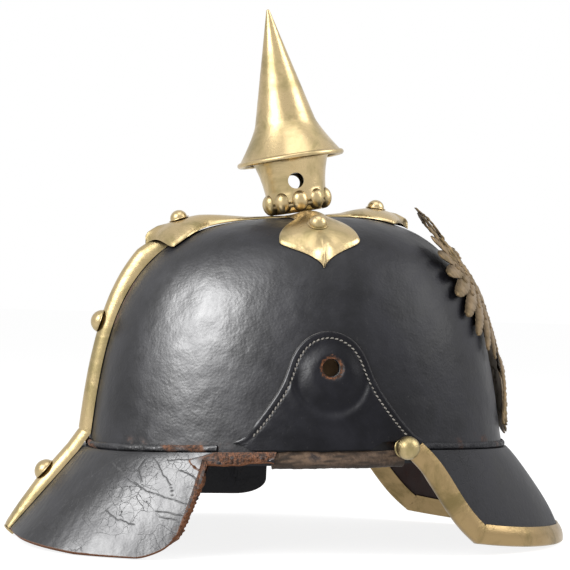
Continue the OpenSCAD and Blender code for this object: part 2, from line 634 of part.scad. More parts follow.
module front_peak_trim() {
    outside = peak_t + 0.1;
    inside = -lining_gap - lining_t - seat;
    lip = -seat - trim_t;
    // Stations round the channel: distance into the leather and out from its inner face.
    // First the outer flange and the lip under the edge, then the inner flange.
    front = [[trim_depth, outside + trim_t], [trim_depth / 2, outside + trim_t],
        [0, outside + trim_t], [lip, outside - 0.2]];
    front_less = [[trim_depth, outside], [trim_depth / 2, outside], [0, outside], [-seat, outside - 0.2]];
    back = [[lip, inside + 0.2], [0, inside - trim_t], [trim_depth / 2, inside - trim_t],
        [trim_depth, inside - trim_t]];
    back_less = [[-seat, inside + 0.2], [0, inside], [trim_depth / 2, inside], [trim_depth, inside]];
    function grid(columns, stations) = [for (az = columns) [for (s = stations) strip_pt(az, s[0], s[1])]];
    // Beside the skull there is only room for the outer flange and the lip
    folded = [for (az = peak_columns) if (abs(az) < trim_open_az) az];
    color(brass) stance() difference() {
        union() {
            sheet(grid(folded, concat(front, back)), grid(folded, concat(front_less, back_less)));
            for (side = [-1, 1]) {
                open = [for (az = peak_columns) if (side * az >= trim_open_az - 6) az];
                sheet(grid(open, concat(front, [[lip, 0.1]])),
                    grid(open, concat(front_less, [[-seat, 0.1]])));
                at_ball(side) translate([0, 0, -trim_t - seat]) cylinder(r = tab_r, h = trim_t, $fn = 32);
            }
        }
        for (side = [-1, 1])
            at_ball(side) translate([0, 0, -5]) cylinder(r = shank_r + fit, h = 10, $fn = 32);
    }
}
// Azimuth past which the trim has no inner flange
trim_open_az = 64;

module neck_guard() {
    function grid(out) = [for (az = guard_columns) [for (i = [0:9])
        let(t = guard_depth(az) * i / 9) guard_pt(torn_az(az, t), t, out)]];
    color(leather_black) stance() difference() {
        sheet(grid(guard_t), grid(0));
        spine_shanks(shank_r + fit);
    }
}

module welt(from, to, n) {
    // Stations round the welt's section: distance out from the skull and height over the seam
    face = [[0.9, 0.15], [welt_t, 1.2], [welt_t, welt_h - 1], [0.9, welt_h]];
    function grid(share) = [for (az = steps(from, to, n)) [for (s = face)
        wall_pt(az, seam_up(az) + s[1], seat + share * s[0])]];
    color(leather_black) stance() sheet(grid(1), grid(0));
}
module front_welt() { welt(-66.5, 66.5, 36); }
module rear_welt() { welt(119, 241, 30); }

module rim_binding(from, to) {
    under = rim_drop + seat;
    inner_h = 2.2;
    outside = [[-inside_wall - binding_t, inner_h - under], [-inside_wall - binding_t, -under],
        [-leather_t / 2, -under - binding_t], [seat + binding_t, -under],
        [seat + binding_t, binding_h - under]];
    inside = [[-inside_wall, inner_h - under], [-inside_wall, -under], [-leather_t / 2, -under],
        [seat, -under], [seat, binding_h - under]];
    function grid(stations) = [for (az = steps(from, to, 10)) [for (s = stations) wall_pt(az, s[1], s[0])]];
    color(leather_brown) stance() sheet(grid(outside), grid(inside));
}
module rim_binding_right() { rim_binding(-peak_end_az - 3.2, -360 + guard_stub_az + 0.4); }
module rim_binding_left() { rim_binding(peak_end_az + 3.2, guard_left_az - 0.6); }

module rear_spine() {
    angles = [for (i = [0:8]) 180 * i / 8];
    function grid(less) = [for (k = spine_stops) [for (a = angles) spine_pt(k, a, less)]];
    color(brass) stance() difference() {
        union() {
            sheet(grid(0), grid(spine_t));
            hook();
        }
        spine_shanks(shank_r + fit);
    }
}
// The spine's foot: a plate that closes the channel and hooks under the guard's edge
hook_t = 1;
hook_in = 0.8;
module hook() {
    d = spine_dir(0.02);
    n = [d[1], -d[0]];
    foot = let(p = guard_pt(180, 1, guard_t)) [p[1], p[2]];
    half = spine_w / 2 - 0.4;
    function row(along, out) = [for (side = [-1, 1]) [side * half, foot[0] + d[0] * along + n[0] * out,
        foot[1] + d[1] * along + n[1] * out]];
    function face(along) = [row(along, spine_gap + spine_t), row(along, -guard_t - hook_in)];
    sheet(face(-seat), face(-seat - hook_t));
}
module spine_studs() {
    color(brass) stance() for (k = [spine_stud_low, spine_stud_high])
        at_spine_stud(k) translate([0, 0, fit])
            stud(stud_r + 0.6, stud_h, held_by_spine(k) + nut_t + 2, 1.25);
}
module spine_nuts() {
    color(brass) stance() {
        for (k = [spine_stud_low, spine_stud_high])
            at_spine_stud(k) translate([0, 0, -held_by_spine(k) - seat]) nut();
    }
}

module cross_base() {
    lanes = [for (j = [0:arm_lanes]) 2 * j / arm_lanes - 1];
    color(brass) stance() difference() {
        union() for (k = [0:3]) arm(k, lanes);
        on_axis() translate([0, 0, -60]) cylinder(r = crown_hole_r, h = 60, $fn = 48);
        base_shanks(shank_r + fit);
    }
}
// One arm of the cross from its middle out
module arm(k, lanes) {
    function rows(layer) = [for (i = [-2:arm_steps])
        let(out_to = mix(arm_half_w, arm_stud_at[k] + leaf_after, i / arm_steps),
            d = i < 0 ? arm_half_w * (i + 2.4) / 2.4 : out_to)
        [for (v = lanes) arm_pt(k, d, v, layer)]];
    sheet(rows(cross_t), rows(0));
}

module base_studs() {
    color(brass) stance() for (k = [0:3])
        at_base_stud(k) translate([0, 0, fit]) stud(stud_r, stud_h, held_by_stud(k) + nut_t + 2);
}
module base_nuts() {
    color(brass) stance() for (k = [0:3]) at_base_stud(k)
        translate([0, 0, -held_by_stud(k) - nut_gap[k]]) nut();
}

module spike_neck() {
    outer = neck_stations;
    inner = [for (s = neck_stations) [s[0], s[1] - neck_t]];
    color(brass) stance() on_axis() difference() {
        rotate_extrude($fn = 96) polygon(concat([for (s = outer) [s[1], s[0]]],
            [for (i = [len(inner) - 1:-1:0]) [inner[i][1], inner[i][0]]]));
        translate([0, 0, vent_at]) rotate([0, 90, -vent_turn])
            cylinder(r = vent_r, h = 60, center = true, $fn = 48);
    }
}
vent_at = -0.43 * neck_h;
// The air holes are drilled a little askew
vent_turn = 6.5;

pearl_r = 4.6;
pearl_h = 11;
pearl_at = -0.79 * neck_h;
pearl_ring_r = 14.6;
module pearl_ring() {
    // Each pearl is an egg with its point down
    egg = [for (a = [-90:18:90]) [pearl_r * cos(a), (pearl_h / 2) * (a < 0 ? sin(a) * 1.1 : sin(a))]];
    color(brass) stance() on_axis() difference() {
        union() {
            for (i = [0:pearl_count - 1]) rotate([0, 0, 360 * (i + 0.5) / pearl_count + 86])
                translate([pearl_ring_r, 0, pearl_at]) rotate_extrude($fn = 24) polygon(egg);
            translate([0, 0, pearl_at - 3.4]) rotate_extrude($fn = 64)
                polygon([[waist_r - 3, 0], [waist_r + 0.2, 0], [waist_r + 0.4, 2.4], [waist_r - 3, 2.4]]);
        }
        rotate_extrude($fn = 96) polygon(concat([[0, -neck_h - 5], [foot_r + fit - 2, -neck_h - 5]],
            [for (s = neck_stations) [s[1] + fit, s[0]]], [[0, neck_top]]));
    }
}

module neck_bridge() {
    bridge_r = waist_r + 1.1;
    color(brass) stance() on_axis() rotate_extrude($fn = 96) polygon([[screw_r + fit, bush_top - bush_t],
        [screw_r + 2.4, bush_top - bush_t], [screw_r + 2.4, bush_top - 1.2], [bridge_r, bush_top - 1.2],
        [bridge_r, bush_top], [screw_r + fit, bush_top]]);
}

module spike_cone() {
    outer = [for (h = spike_levels) [spike_r(h), h]];
    tip = [for (a = [30, 60]) [tip_r * cos(a), spike_h - tip_r + tip_r * sin(a)]];
    last = len(spike_levels) - 2;
    hollow_top = [0, spike_levels[last] + 1];
    inner = [for (i = [last:-1:0]) let(h = spike_levels[i]) [max(0.4, spike_r(h) - spike_t), h]];
    color(brass) stance() on_axis() union() {
        rotate_extrude($fn = 120) polygon(concat(outer, tip, [[0, spike_h], hollow_top], inner));
        rotate_extrude($fn = 120) translate([flare_r - bead_r / 2, 0]) circle(r = bead_r, $fn = 24);
    }
}
module cone_floor() {
    floor_r = spike_r(floor_at + floor_t) - spike_t - fit;
    color(brass) stance() on_axis() translate([0, 0, floor_at]) difference() {
        cylinder(r = floor_r, h = floor_t, $fn = 96);
        translate([0, 0, -1]) cylinder(r = screw_r + fit, h = floor_t + 2, $fn = 64);
    }
}
module spike_screw() {
    head = floor_at + floor_t + fit;
    color(brass) stance() on_axis() rotate_extrude($fn = 64) polygon([[0, screw_end],
        [screw_r - 0.8, screw_end], [screw_r, screw_end + 0.8], [screw_r, head],
        [screw_r + 2.5, head], [screw_r + 2.5, head + 3], [0, head + 3]]);
}

// A flat feather or limb between two places of the plate's face, in layers
module feather(a, b, ra, rb, layer = 0) {
    hull() {
        seated(plate_at(a[0], a[1], layer), plate_normal(a[0], a[1]))
            cylinder(r = ra, h = plate_t, $fn = 8);
        seated(plate_at(b[0], b[1], layer), plate_normal(b[0], b[1]))
            cylinder(r = rb, h = plate_t, $fn = 8);
    }
}
wing_root = [9, 72];
wing_wrist = [31, 96];
module wing(side) {
    // Long feathers from the wing's arm to their tips, in a fan from the top tip down
    tips = [[38, 113], [45, 107], [50, 98], [53, 88], [55, 77], [54, 66], [50, 56], [43, 48],
        [34, 43]];
    for (i = [0:8]) {
        root = mix(wing_wrist, wing_root, pow(i / 8, 1.2));
        bend = mix(root, tips[i], 0.6);
        feather([side * root[0], root[1]], [side * bend[0], bend[1]], 3, 4);
        feather([side * bend[0], bend[1]], [side * tips[i][0], tips[i][1]], 4, 2);
    }
    // The arm, above the feathers
    feather([side * wing_root[0], wing_root[1]], [side * 22, 86], 6.5, 5.5, 1);
    feather([side * 22, 86], [side * wing_wrist[0], wing_wrist[1]], 5.5, 4, 1);
    feather([side * wing_wrist[0], wing_wrist[1]], [side * 34, 106], 4, 2.2, 1);
}
module eagle_plate() {
    color(old_bronze) stance() union() {
        for (side = [-1, 1]) {
            wing(side);
            // Leg and toes
            feather([side * 7, 40], [side * 20, 28], 5, 3.5, 1);
            feather([side * 20, 28], [side * 27, 16], 3.5, 2, 1);
            for (toe = [-7, 0, 7]) feather([side * 27, 16], [side * 27 + toe, 7], 2.2, 1.3, 1);
            // Crown
            feather([side * 1, 109], [side * 8, 116], 2, 1.6, 1);
            feather([side * 8, 116], [0, 121], 1.6, 1.6, 1);
        }
        // Body, neck, head turned to the wearer's right, and beak
        feather([0, 72], [0, 52], 11, 12, 1);
        feather([0, 52], [0, 34], 12, 6, 1);
        feather([0, 72], [1, 88], 9, 5.5, 1);
        feather([1, 88], [-2, 99], 5.5, 5.5, 1.6);
        feather([-4, 100], [-13, 96], 3.4, 1.2, 1.6);
        feather([-7, 108], [7, 108], 2, 2, 1);
        feather([0, 101], [0, 121], 3, 2, 1);
        feather([0, 121], [0, 124], 1.4, 0.8, 1);
        // Tail
        for (v = [-2:2]) {
            feather([0, 34], [v * 6, 16 + abs(v)], 4, 3.6);
            feather([v * 6, 16 + abs(v)], [v * 9, plate_foot_up + 2.5 * abs(v) + 4.5], 3.6, 2.2);
        }
    }
}
module plate_loops() {
    color(brass) stance() for (side = [-1, 1]) {
        far = plate_face(side * (loop_left + loop_gap + loop_r), loop_up + loop_r, -2 * seat)[1];
        q = side_front(side * loop_left, loop_up);
        bend = q[1] + loop_in;
        union() {
            for (s = [-1, 1]) translate([q[0] + s * loop_gap, far, loop_up]) rotate([-90, 0, 0])
                cylinder(r = loop_r, h = bend - far + 0.5, $fn = 24);
            translate([q[0], bend, loop_up]) rotate_extrude(angle = 180, $fn = 48)
                translate([loop_gap, 0]) circle(r = loop_r + 0.12, $fn = 24);
        }
    }
}
wedge_h = 14;
wedge_t = 1.7;
module plate_wedges() {
    color(leather_brown) stance() for (side = [-1, 1]) {
        q = side_front(side * loop_left, loop_up);
        above = side_front(side * loop_left, loop_up + 1);
        beside = side_front(side * (loop_left + 1), loop_up);
        wide = 2 * (loop_gap - loop_r - 0.1);
        // The wall runs askew here, which makes it deeper along the wires
        depth = leather_t * norm([1, above[1] - q[1], beside[1] - q[1]]) + 3 * seat;
        translate(q) rotate([-atan2(above[1] - q[1], above[2] - q[2]), 0, 0])
            translate([-wide / 2, depth, -wedge_h / 2]) cube([wide, wedge_t, wedge_h]);
    }
}

// Depth to which a ball stud's shank reaches
ball_shank = ball_out + inside_wall + nut_t + 0.8;
module ball_studs() {
    color(brass) stance() for (side = [-1, 1]) at_ball(side) union() {
        difference() {
            translate([0, 0, ball_r - 0.9]) sphere(r = ball_r, $fn = 64);
            translate([0, 0, fit - ball_r]) cube(2 * ball_r, center = true);
        }
        translate([0, 0, -ball_shank]) cylinder(r = shank_r, h = ball_shank + 1, $fn = 32);
    }
}
module ball_stud_nuts() {
    color(brass) stance() for (side = [-1, 1]) at_ball(side)
        translate([0, 0, -ball_out - inside_wall - 0.2]) nut();
}

module crown_disc() {
    az_list = [for (i = [0:23]) 15 * i];
    function grid(out) = [for (t = [79, 82, 84.5, 87]) [for (az = az_list) dome_pt(az, t, out)]];
    color(leather_brown) stance() difference() {
        sheet(grid(-leather_t - seat), grid(-leather_t - seat - 1.5), loop = true);
        on_axis() translate([0, 0, -60]) cylinder(r = crown_hole_r, h = 60, $fn = 48);
    }
}

// The sweatband bulges inwards over the nuts of the ball studs
function bulge(az, up) =
    (nut_t + 1.6) * clamp((10 - norm([(abs(az) - ball_az) * arc_mm, up - ball_up])) / 4);
module sweatband() {
    near_ball = [-10, -6, -3, 0, 3, 6, 10];
    half = concat([0, 10, 20, 30, 40, 50], [for (a = near_ball) ball_az + a],
        [90, 100, 110, 120, 130, 140, 150, 160, 170]);
    az_list = concat(half, [180], [for (i = [len(half) - 1:-1:1]) -half[i]]);
    levels = [-4, 0, 5, 11, (11 + band_h - 4) / 2, band_h - 4];
    function grid(more) = [for (up = levels) [for (az = az_list)
        wall_pt(az, up, -inside_wall - more - bulge(az, up))]];
    color(pale_leather) stance() sheet(grid(0), grid(band_t), loop = true);
}
// How far the tongues' tops lean inwards
tongue_lean = 18;
module liner_tongues() {
    foot_t = 3.2;
    function grid(k, less) = [for (u = steps(0, 1, 7)) [for (v = steps(-1, 1, 4))
        dome_pt(360 * k / tongue_count + v * mix(0.46, 0.30, u) * 360 / tongue_count,
            mix(foot_t, 58, u), -inside_wall - band_t - 2 * seat - tongue_lean * pow(u, 0.75) - less)]];
    color(pale_leather) stance() for (k = [0:tongue_count - 1]) sheet(grid(k, 0), grid(k, 1));
}

skull();
side_patch_right();
side_patch_left();
front_peak();
front_peak_lining();
front_peak_trim();
neck_guard();
front_welt();
rear_welt();
rim_binding_right();
rim_binding_left();
rear_spine();
spine_studs();
spine_nuts();
cross_base();
base_studs();
base_nuts();
spike_neck();
pearl_ring();
neck_bridge();
spike_cone();
cone_floor();
spike_screw();
eagle_plate();
plate_loops();
plate_wedges();
ball_studs();
ball_stud_nuts();
crown_disc();
sweatband();
liner_tongues();
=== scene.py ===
"""Dresses the spiked leather helmet: each visible piece is worked out again as a fine surface from the
part's own measures, with procedural leather, lacquer and brass."""

import bmesh
import bpy
import numpy as np
from bpy.props import FloatProperty, FloatVectorProperty, PointerProperty
from mathutils import Matrix, Vector


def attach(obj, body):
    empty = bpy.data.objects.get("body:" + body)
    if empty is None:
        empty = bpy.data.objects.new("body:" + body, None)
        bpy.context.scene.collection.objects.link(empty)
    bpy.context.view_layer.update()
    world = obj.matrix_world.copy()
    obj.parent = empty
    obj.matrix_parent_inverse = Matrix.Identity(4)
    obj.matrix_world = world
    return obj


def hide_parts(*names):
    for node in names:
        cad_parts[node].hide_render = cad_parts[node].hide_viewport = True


bl_info = {
    "name": "Spiked leather helmet",
    "version": (1, 0, 0),
    "blender": (4, 5, 0),
    "location": "3D View > Sidebar > Helmet",
    "description": "Leather helmet with brass spike, cross, spine and eagle plate",
    "category": "Add Mesh",
}

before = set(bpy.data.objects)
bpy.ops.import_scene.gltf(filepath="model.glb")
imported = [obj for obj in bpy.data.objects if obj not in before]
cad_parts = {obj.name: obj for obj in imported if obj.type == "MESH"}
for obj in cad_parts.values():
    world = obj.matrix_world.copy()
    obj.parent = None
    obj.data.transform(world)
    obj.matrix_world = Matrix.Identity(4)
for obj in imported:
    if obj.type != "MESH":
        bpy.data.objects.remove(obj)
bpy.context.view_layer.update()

# Measures of the part, in millimetres of the level helmet frame. Angles round the helmet are in degrees, 0
# straight ahead and positive to the wearer's left.

# Stand: tilt of the helmet, height of its seam and shift back, and the gap between seated pieces
TILT, SEAM_H, FOOTING, SEAT = np.radians(1.7), 53.2, 3.0, 0.3

# Skull: middle and reaches of its outline, half width, height, leather, and rim below the seam
SKULL_MID, SKULL_BACK, SKULL_FRONT = 8.0, 113.5, 109.0
SKULL_HALF_W, SKULL_H, LEATHER_T, RIM_DROP = 91.0, 118.0, 3.0, 7.0
# Taper of its wall, lean of its crown, powers of its outline and of its shoulder
SKULL_TAPER, SKULL_LEAN, SKULL_PLAN, SKULL_IN, SKULL_UP = 0.145, 0.03, 2.12, 3.35, 3.5
# Angle of the dome at the crown hole's edge, and the arc of one degree on the skull's side
CROWN_HOLE_T, ARC_MM = 88.4, np.pi / 180 * SKULL_HALF_W
# Soft dents: distance ahead, height, side, size and depth of each
SKULL_DENTS = ((-62, 74, -1, 9, 0.7), (-30, 92, -1, 13, 0.5), (-52, 60, -1, 6, 0.35),
               (40, 80, -1, 16, 0.5), (20, 70, 1, 14, 0.6), (-60, 50, 1, 11, 0.6))

# Front peak: reach, drop, leather and lining, its corners and its ends
PEAK_REACH, PEAK_DROP, PEAK_T, LINING_T, LINING_GAP = 33.0, 54.0, 2.4, 0.8, 0.2
CORNER_RISE, CORNER_AZ, PEAK_END_AZ, PEAK_END_H = 7.8, 47.5, 70.0, 1.6
# Its trim: depth of the flanges, brass, clearance over the floor, and where the inner flange ends
TRIM_DEPTH, TRIM_T, TRIM_CLEAR, TRIM_OPEN_AZ = 8.5, 0.6, 0.2, 64.0

# Neck guard: reach, half width, leather, power of its outline and depth from seam to edge
GUARD_REACH, GUARD_HALF_W, GUARD_T, GUARD_PLAN, GUARD_DEEP = 153.0, 99.0, 2.6, 3.0, 50.0
# How its edge rises towards the sides and the rear, and the radius of its corners
GUARD_SIDE_RISE, GUARD_RISE_FROM, GUARD_RISE_OVER = 12.0, -88.0, 50.0
GUARD_LOW_AT, GUARD_REAR_RISE, GUARD_CORNER = -118.0, 2.4, 11.0
# Its left end, its tear and how far that swings, and the height and end of the strip beyond it
GUARD_LEFT_AZ, GUARD_TEAR_AZ, TEAR_SWING, STUB_H, GUARD_STUB_AZ = 91.0, 241.0, 5.5, 7.0, 256.0
# Where the leather ends at the tear and the strip begins
TEAR_END_AZ = GUARD_TEAR_AZ + 0.4

# Welts over the seams, and bindings round the rim
WELT_H, WELT_T, BINDING_T, BINDING_H = 3.6, 1.6, 0.9, 7.2
FRONT_WELT_AZ, REAR_WELT_AZ = 66.5, 119.0

# Side patch: leather, top, half length at its feet, middle, foot and how far it hangs between the feet
PATCH_T, PATCH_H, PATCH_FOOT, PATCH_AHEAD, PATCH_LOW, PATCH_HANG = 1.6, 59.0, 48.0, 7.5, 4.4, 3.5
# Its rosette hole, and its boss with the middle below the hole
ROSETTE_UP, ROSETTE_R, BOSS_H, BOSS_BELOW = 41.0, 4.5, 2.2, 4.4

# Rear spine: width, height, brass, gap under it, and height at its foot and its top
SPINE_W, SPINE_H, SPINE_T, SPINE_GAP, SPINE_END_H, EDGE_GAP = 12.0, 5.6, 0.8, 0.8, 2.0, 0.1
# Stations of its line, 0 at the guard's edge and 1 at the seam: its top, where it flattens, where it deepens
# and its studs, and the dome's angle at station 2
SPINE_TOP, SPINE_FLAT, SPINE_DEEPER, SPINE_STUDS, SPINE_TOP_T = 1.985, 1.88, 1.45, (0.62, 1.575), 58.0

# Cross: brass, middle, half width of its arms and leaves, crown of their section
CROSS_T, CROSS_MID, ARM_HALF_W, LEAF_HALF_W, FOOT_CROWN, ARM_CROWN = 1.0, 8.2, 9.0, 20.8, 0.3, 2.8
# Leaf before and after its stud, its widest place, and lift of the rear and the front arm
LEAF_BEFORE, LEAF_AFTER, LEAF_WIDEST, REAR_LIFT, FRONT_LIFT = 16.0, 18.0, 0.6, 10.7, 2.4
# For the arms ahead, left, behind and right: stud, start of the lift, start and end of the crown's growth
ARM_STUD_AT, LIFT_FROM = (41.8, 52.0, 65.7, 52.0), (22, 0, 18, 0)
CROWN_FROM, CROWN_FULL = (12, 9, 30, 9), (38, 27, 55, 27)
STUD_R, STUD_H = 5.5, 4.8

# Neck: lean of its axis, place of its heel, height, radii at foot and waist, and brass
LEAN, HEEL_AHEAD, NECK_H, FOOT_R, WAIST_R, NECK_T = np.radians(8.8), -4.9, 29.0, 12.5, 16.4, 1.0
# Its air holes, and its ring of pearls, at heights below the spike's foot
VENT_R, VENT_TURN, VENT_AT = 4.2, 6.5, -0.43 * NECK_H
PEARLS, PEARL_R, PEARL_H, PEARL_RING_R, PEARL_AT = 10, 4.6, 11.0, 14.6, -0.79 * NECK_H

# Spike: height, brass, tip, foot of its cone, and its flare and bead
SPIKE_H, SPIKE_T, TIP_R, CONE_FOOT_R = 81.4, 0.9, 1.0, 21.4
FLARE_R, FLARE_H, BEAD_R = 28.3, 20.0, 1.5

# Ball studs at the trim's ends
BALL_AZ, BALL_UP, BALL_R = 71.5, 1.0, 5.9
BALL_OUT = SEAT + PEAK_T + TRIM_T + SEAT

# Eagle plate's place
PLATE_AHEAD = SKULL_MID + SKULL_FRONT + 1.6

# Sweatband from its foot up, tongues between two angles of the dome, and the crown disc
BAND_LOW, BAND_H, BAND_T = -4.0, 38.0, 1.2
BAND_TOP = BAND_LOW + BAND_H
TONGUES, TONGUE_T, TONGUE_LEAN, TONGUE_ENDS = 9, 1.0, 18.0, (3.2, 57.5)
DISC_T, DISC_ENDS = 1.5, (79.0, 88.2)

# Photograph: side and focal length in pixels, how far its middle lies over the camera's axis, and the
# camera's distance, height and turn behind the helmet's right side
PHOTO_SIDE, PHOTO_FOCAL, PHOTO_SHIFT = 570, 1852, 4
CAMERA_FAR, CAMERA_UP, CAMERA_TURN, SENSOR_MM = 1000.0, 80.0, np.radians(9.8), 36.0

# Collection of the pieces that the sheen lamp lights
SHEEN_LIT = "leather pieces"


# Shapes of the helmet
def at(ahead, left, up):
    """Point of the level frame from its distance ahead, to the wearer's left and up."""
    return np.stack(np.broadcast_arrays(np.asarray(left, float), -np.asarray(ahead, float), up), -1)


def stand(points):
    """Level frame in mm to standing frame in m: tilted about X and lifted to the seam's height."""
    x, y, z = np.moveaxis(points, -1, 0)
    c, s = np.cos(TILT), np.sin(TILT)
    return np.stack([x, FOOTING + y * c + z * s, SEAM_H - y * s + z * c], -1) / 1000


def unit(v):
    """Vectors of length 1 in the same directions."""
    return v / np.linalg.norm(v, axis=-1, keepdims=True)


def mix(a, b, share):
    """Value at a share of the way from a to b."""
    return a + (b - a) * share


def clamp(v):
    """Values held between 0 and 1."""
    return np.clip(v, 0, 1)


def smooth(v):
    """Smooth step from 0 to 1."""
    v = clamp(v)
    return v * v * (3 - 2 * v)


def floor_up(ahead):
    """Height of the floor in the level frame at a distance ahead."""
    return -(SEAM_H + ahead * np.sin(TILT)) / np.cos(TILT)


def plan(az, n):
    """Superellipse of power n: shares of the reach ahead and to the side at an azimuth in degrees."""
    c, s = np.cos(np.radians(az)), np.sin(np.radians(az))
    r = (np.abs(c) ** n + np.abs(s) ** n) ** (-1 / n)
    return r * c, r * s


def drawn_in(rise):
    """Share of the full outline left at a share of the height: a superellipse shoulder on a tapering wall."""
    rise = np.clip(rise, 0, 1)
    return (1 - rise**SKULL_UP) ** (1 / SKULL_IN) * (1 - SKULL_TAPER * rise)


def skull_ring(az, share, out, up):
    """Point of the skull's outline at a share of its size, a distance out from its face."""
    ahead, side = plan(az, SKULL_PLAN)
    reach = np.where(ahead > 0, SKULL_FRONT, SKULL_BACK)
    return at(SKULL_MID + ahead * (reach + out) * share, side * (SKULL_HALF_W + out) * share, up)


def dome_pt(az, t, out):
    """Point of the dome at an angle t from the seam, 0, to the crown, 90."""
    rise = np.sin(np.radians(t)) ** (2 / SKULL_UP)
    ring = skull_ring(az, drawn_in(rise), out, 0)
    ring[..., 2] = (SKULL_H + out - SKULL_LEAN * ring[..., 1]) * rise
    return ring


def wall_pt(az, up, out):
    """Point of the skull's wall at an azimuth and a height."""
    near = skull_ring(az, 1, out, 0)
    rise = np.maximum(0, up) / (SKULL_H + out - SKULL_LEAN * near[..., 1])
    return skull_ring(az, drawn_in(rise), out, up)


def side_pt(ahead, up, out, side):
    """Point of the wall on one side at a distance ahead and a height."""
    share = drawn_in(np.maximum(0, up) / (SKULL_H + out + SKULL_LEAN * ahead))
    d = ahead - SKULL_MID
    reach = (np.where(d > 0, SKULL_FRONT, SKULL_BACK) + out) * share
    left_over = np.maximum(0, 1 - (np.abs(d) / reach) ** SKULL_PLAN)
    return at(ahead, side * (SKULL_HALF_W + out) * share * left_over ** (1 / SKULL_PLAN), up)


def crown_pt(ahead, left, out):
    """Point of the crown over a place seen from above; its height is found in steps."""
    d = ahead - SKULL_MID
    reach = np.where(d > 0, SKULL_FRONT, SKULL_BACK) + out
    share = (np.abs(d) / reach) ** SKULL_PLAN + (np.abs(left) / (SKULL_HALF_W + out)) ** SKULL_PLAN
    share = share ** (1 / SKULL_PLAN)
    rise = np.ones_like(share)
    for _ in range(12):
        rise = np.maximum(0, 1 - (share / (1 - SKULL_TAPER * rise)) ** SKULL_IN) ** (1 / SKULL_UP)
    return at(ahead, left, (SKULL_H + out + SKULL_LEAN * ahead) * rise)


def seam_up(az):
    """Height of the seam: it dips by a squared cosine ahead and behind."""
    c = np.cos(np.radians(az))
    return 0.3 - np.where(c > 0, 5.0, 3.0) * c * c


def peak_edge():
    """Height of the peak's edge straight ahead: over the floor by its trim and a clearance."""
    return floor_up(SKULL_MID + SKULL_FRONT + PEAK_REACH) + TRIM_T + SEAT + TRIM_CLEAR


def peak_bottom(az):
    """Height of the peak's edge: a parabola across the front, then a swung run up to the ball stud."""
    edge = peak_edge()
    run = clamp((np.abs(az) - CORNER_AZ) / (PEAK_END_AZ - CORNER_AZ))
    side = mix(edge + CORNER_RISE, seam_up(PEAK_END_AZ) - PEAK_END_H, run) - 1.8 * np.sin(2 * np.pi * run)
    return np.where(np.abs(az) <= CORNER_AZ, edge + CORNER_RISE * (az / CORNER_AZ) ** 2, side)


def peak_base(az, up):
    """Inner face of the peak: the skull's outline thrown outwards by a power of the drop, most ahead."""
    ring = skull_ring(az, 1, SEAT, up)
    along = skull_ring(az + 1, 1, 0, up) - skull_ring(az - 1, 1, 0, up)
    side = unit(np.cross(along, [0.0, 0.0, 1.0]))
    flare = PEAK_REACH * np.maximum(0, np.cos(np.radians(90 * az / PEAK_END_AZ))) ** 2.7
    drop = clamp((seam_up(az) - up) / PEAK_DROP)
    return ring + side * (flare * (1 - (1 - drop) ** 1.45))[..., None]


def peak_pt(az, up, out):
    """Point of the peak at a distance out from its inner face, square to it."""
    az, up, out = np.broadcast_arrays(az, up, np.asarray(out, float))
    along = peak_base(az + 1, up) - peak_base(az - 1, up)
    rising = peak_base(az, up + 0.5) - peak_base(az, up - 0.5)
    n = unit(np.cross(along, rising))
    n[..., 2] *= clamp((seam_up(az) - up) / 7)
    return peak_base(az, up) + unit(n) * out[..., None]


def strip_pt(az, into, out):
    """Point of the peak's edge strip at a distance into the leather, mitred at the corners."""
    rise = seam_up(PEAK_END_AZ) - PEAK_END_H - peak_edge() - CORNER_RISE
    run = np.array([(PEAK_END_AZ - CORNER_AZ) * ARC_MM, rise])
    across, up = -run[1] / np.hypot(*run) / ARC_MM, run[0] / np.hypot(*run)
    corner = across / (1 + up)
    front = np.abs(az) <= CORNER_AZ
    da = np.where(front, corner * az / CORNER_AZ, across * np.sign(az))
    du = np.where(front, 1, up)
    return peak_pt(az + da * into, peak_bottom(az) + du * into, out)


def guard_edge(az):
    """Lower edge of the guard: a superellipse on the floor that rises by a power towards the sides, and
    evenly towards the rear."""
    ahead, side = plan(az, GUARD_PLAN)
    ahead = SKULL_MID + ahead * GUARD_REACH
    rise = GUARD_SIDE_RISE * clamp((ahead - GUARD_RISE_FROM) / GUARD_RISE_OVER) ** 1.3
    rear = GUARD_REAR_RISE * clamp((GUARD_LOW_AT - ahead) / (GUARD_REACH - SKULL_MID + GUARD_LOW_AT))
    return at(ahead, side * GUARD_HALF_W, floor_up(ahead) + rise + rear)


def guard_base(az, t):
    """Inner face of the guard: straight from the seam, t 0, to the edge, t 1."""
    top = skull_ring(az, 1, SEAT, seam_up(az))
    return mix(top, guard_edge(az), np.asarray(t, float)[..., None])


def guard_pt(az, t, out):
    """Point of the neck guard at a distance out from its inner face, square to it, level at the seam."""
    az, t, out = np.broadcast_arrays(np.asarray(az, float), t, np.asarray(out, float))
    along = guard_base(az + 1, t) - guard_base(az - 1, t)
    rising = guard_base(az, np.zeros_like(t)) - guard_base(az, np.ones_like(t))
    n = unit(np.cross(along, rising))
    n[..., 2] *= clamp(t / 0.12)
    return guard_base(az, t) + unit(n) * out[..., None]


def round_off(mm, r):
    """What a round corner of radius r takes off the depth at a distance from the end."""
    return np.where(mm >= r, 0, r - np.sqrt(np.maximum(0, r * r - (r - np.maximum(0, mm)) ** 2)))


def guard_depth(az):
    """Share of the full depth kept: rounded at both ends, and a ragged strip beyond the tear."""
    whole = 1 - (round_off((az - GUARD_LEFT_AZ) * ARC_MM, GUARD_CORNER)
                 + round_off((TEAR_END_AZ - az) * ARC_MM, GUARD_CORNER)) / GUARD_DEEP
    ragged = STUB_H + 0.2 + 0.35 * np.sin(np.radians(az * 31)) + 0.2 * np.sin(np.radians(az * 83))
    return np.where(az > TEAR_END_AZ, ragged / GUARD_DEEP, whole)


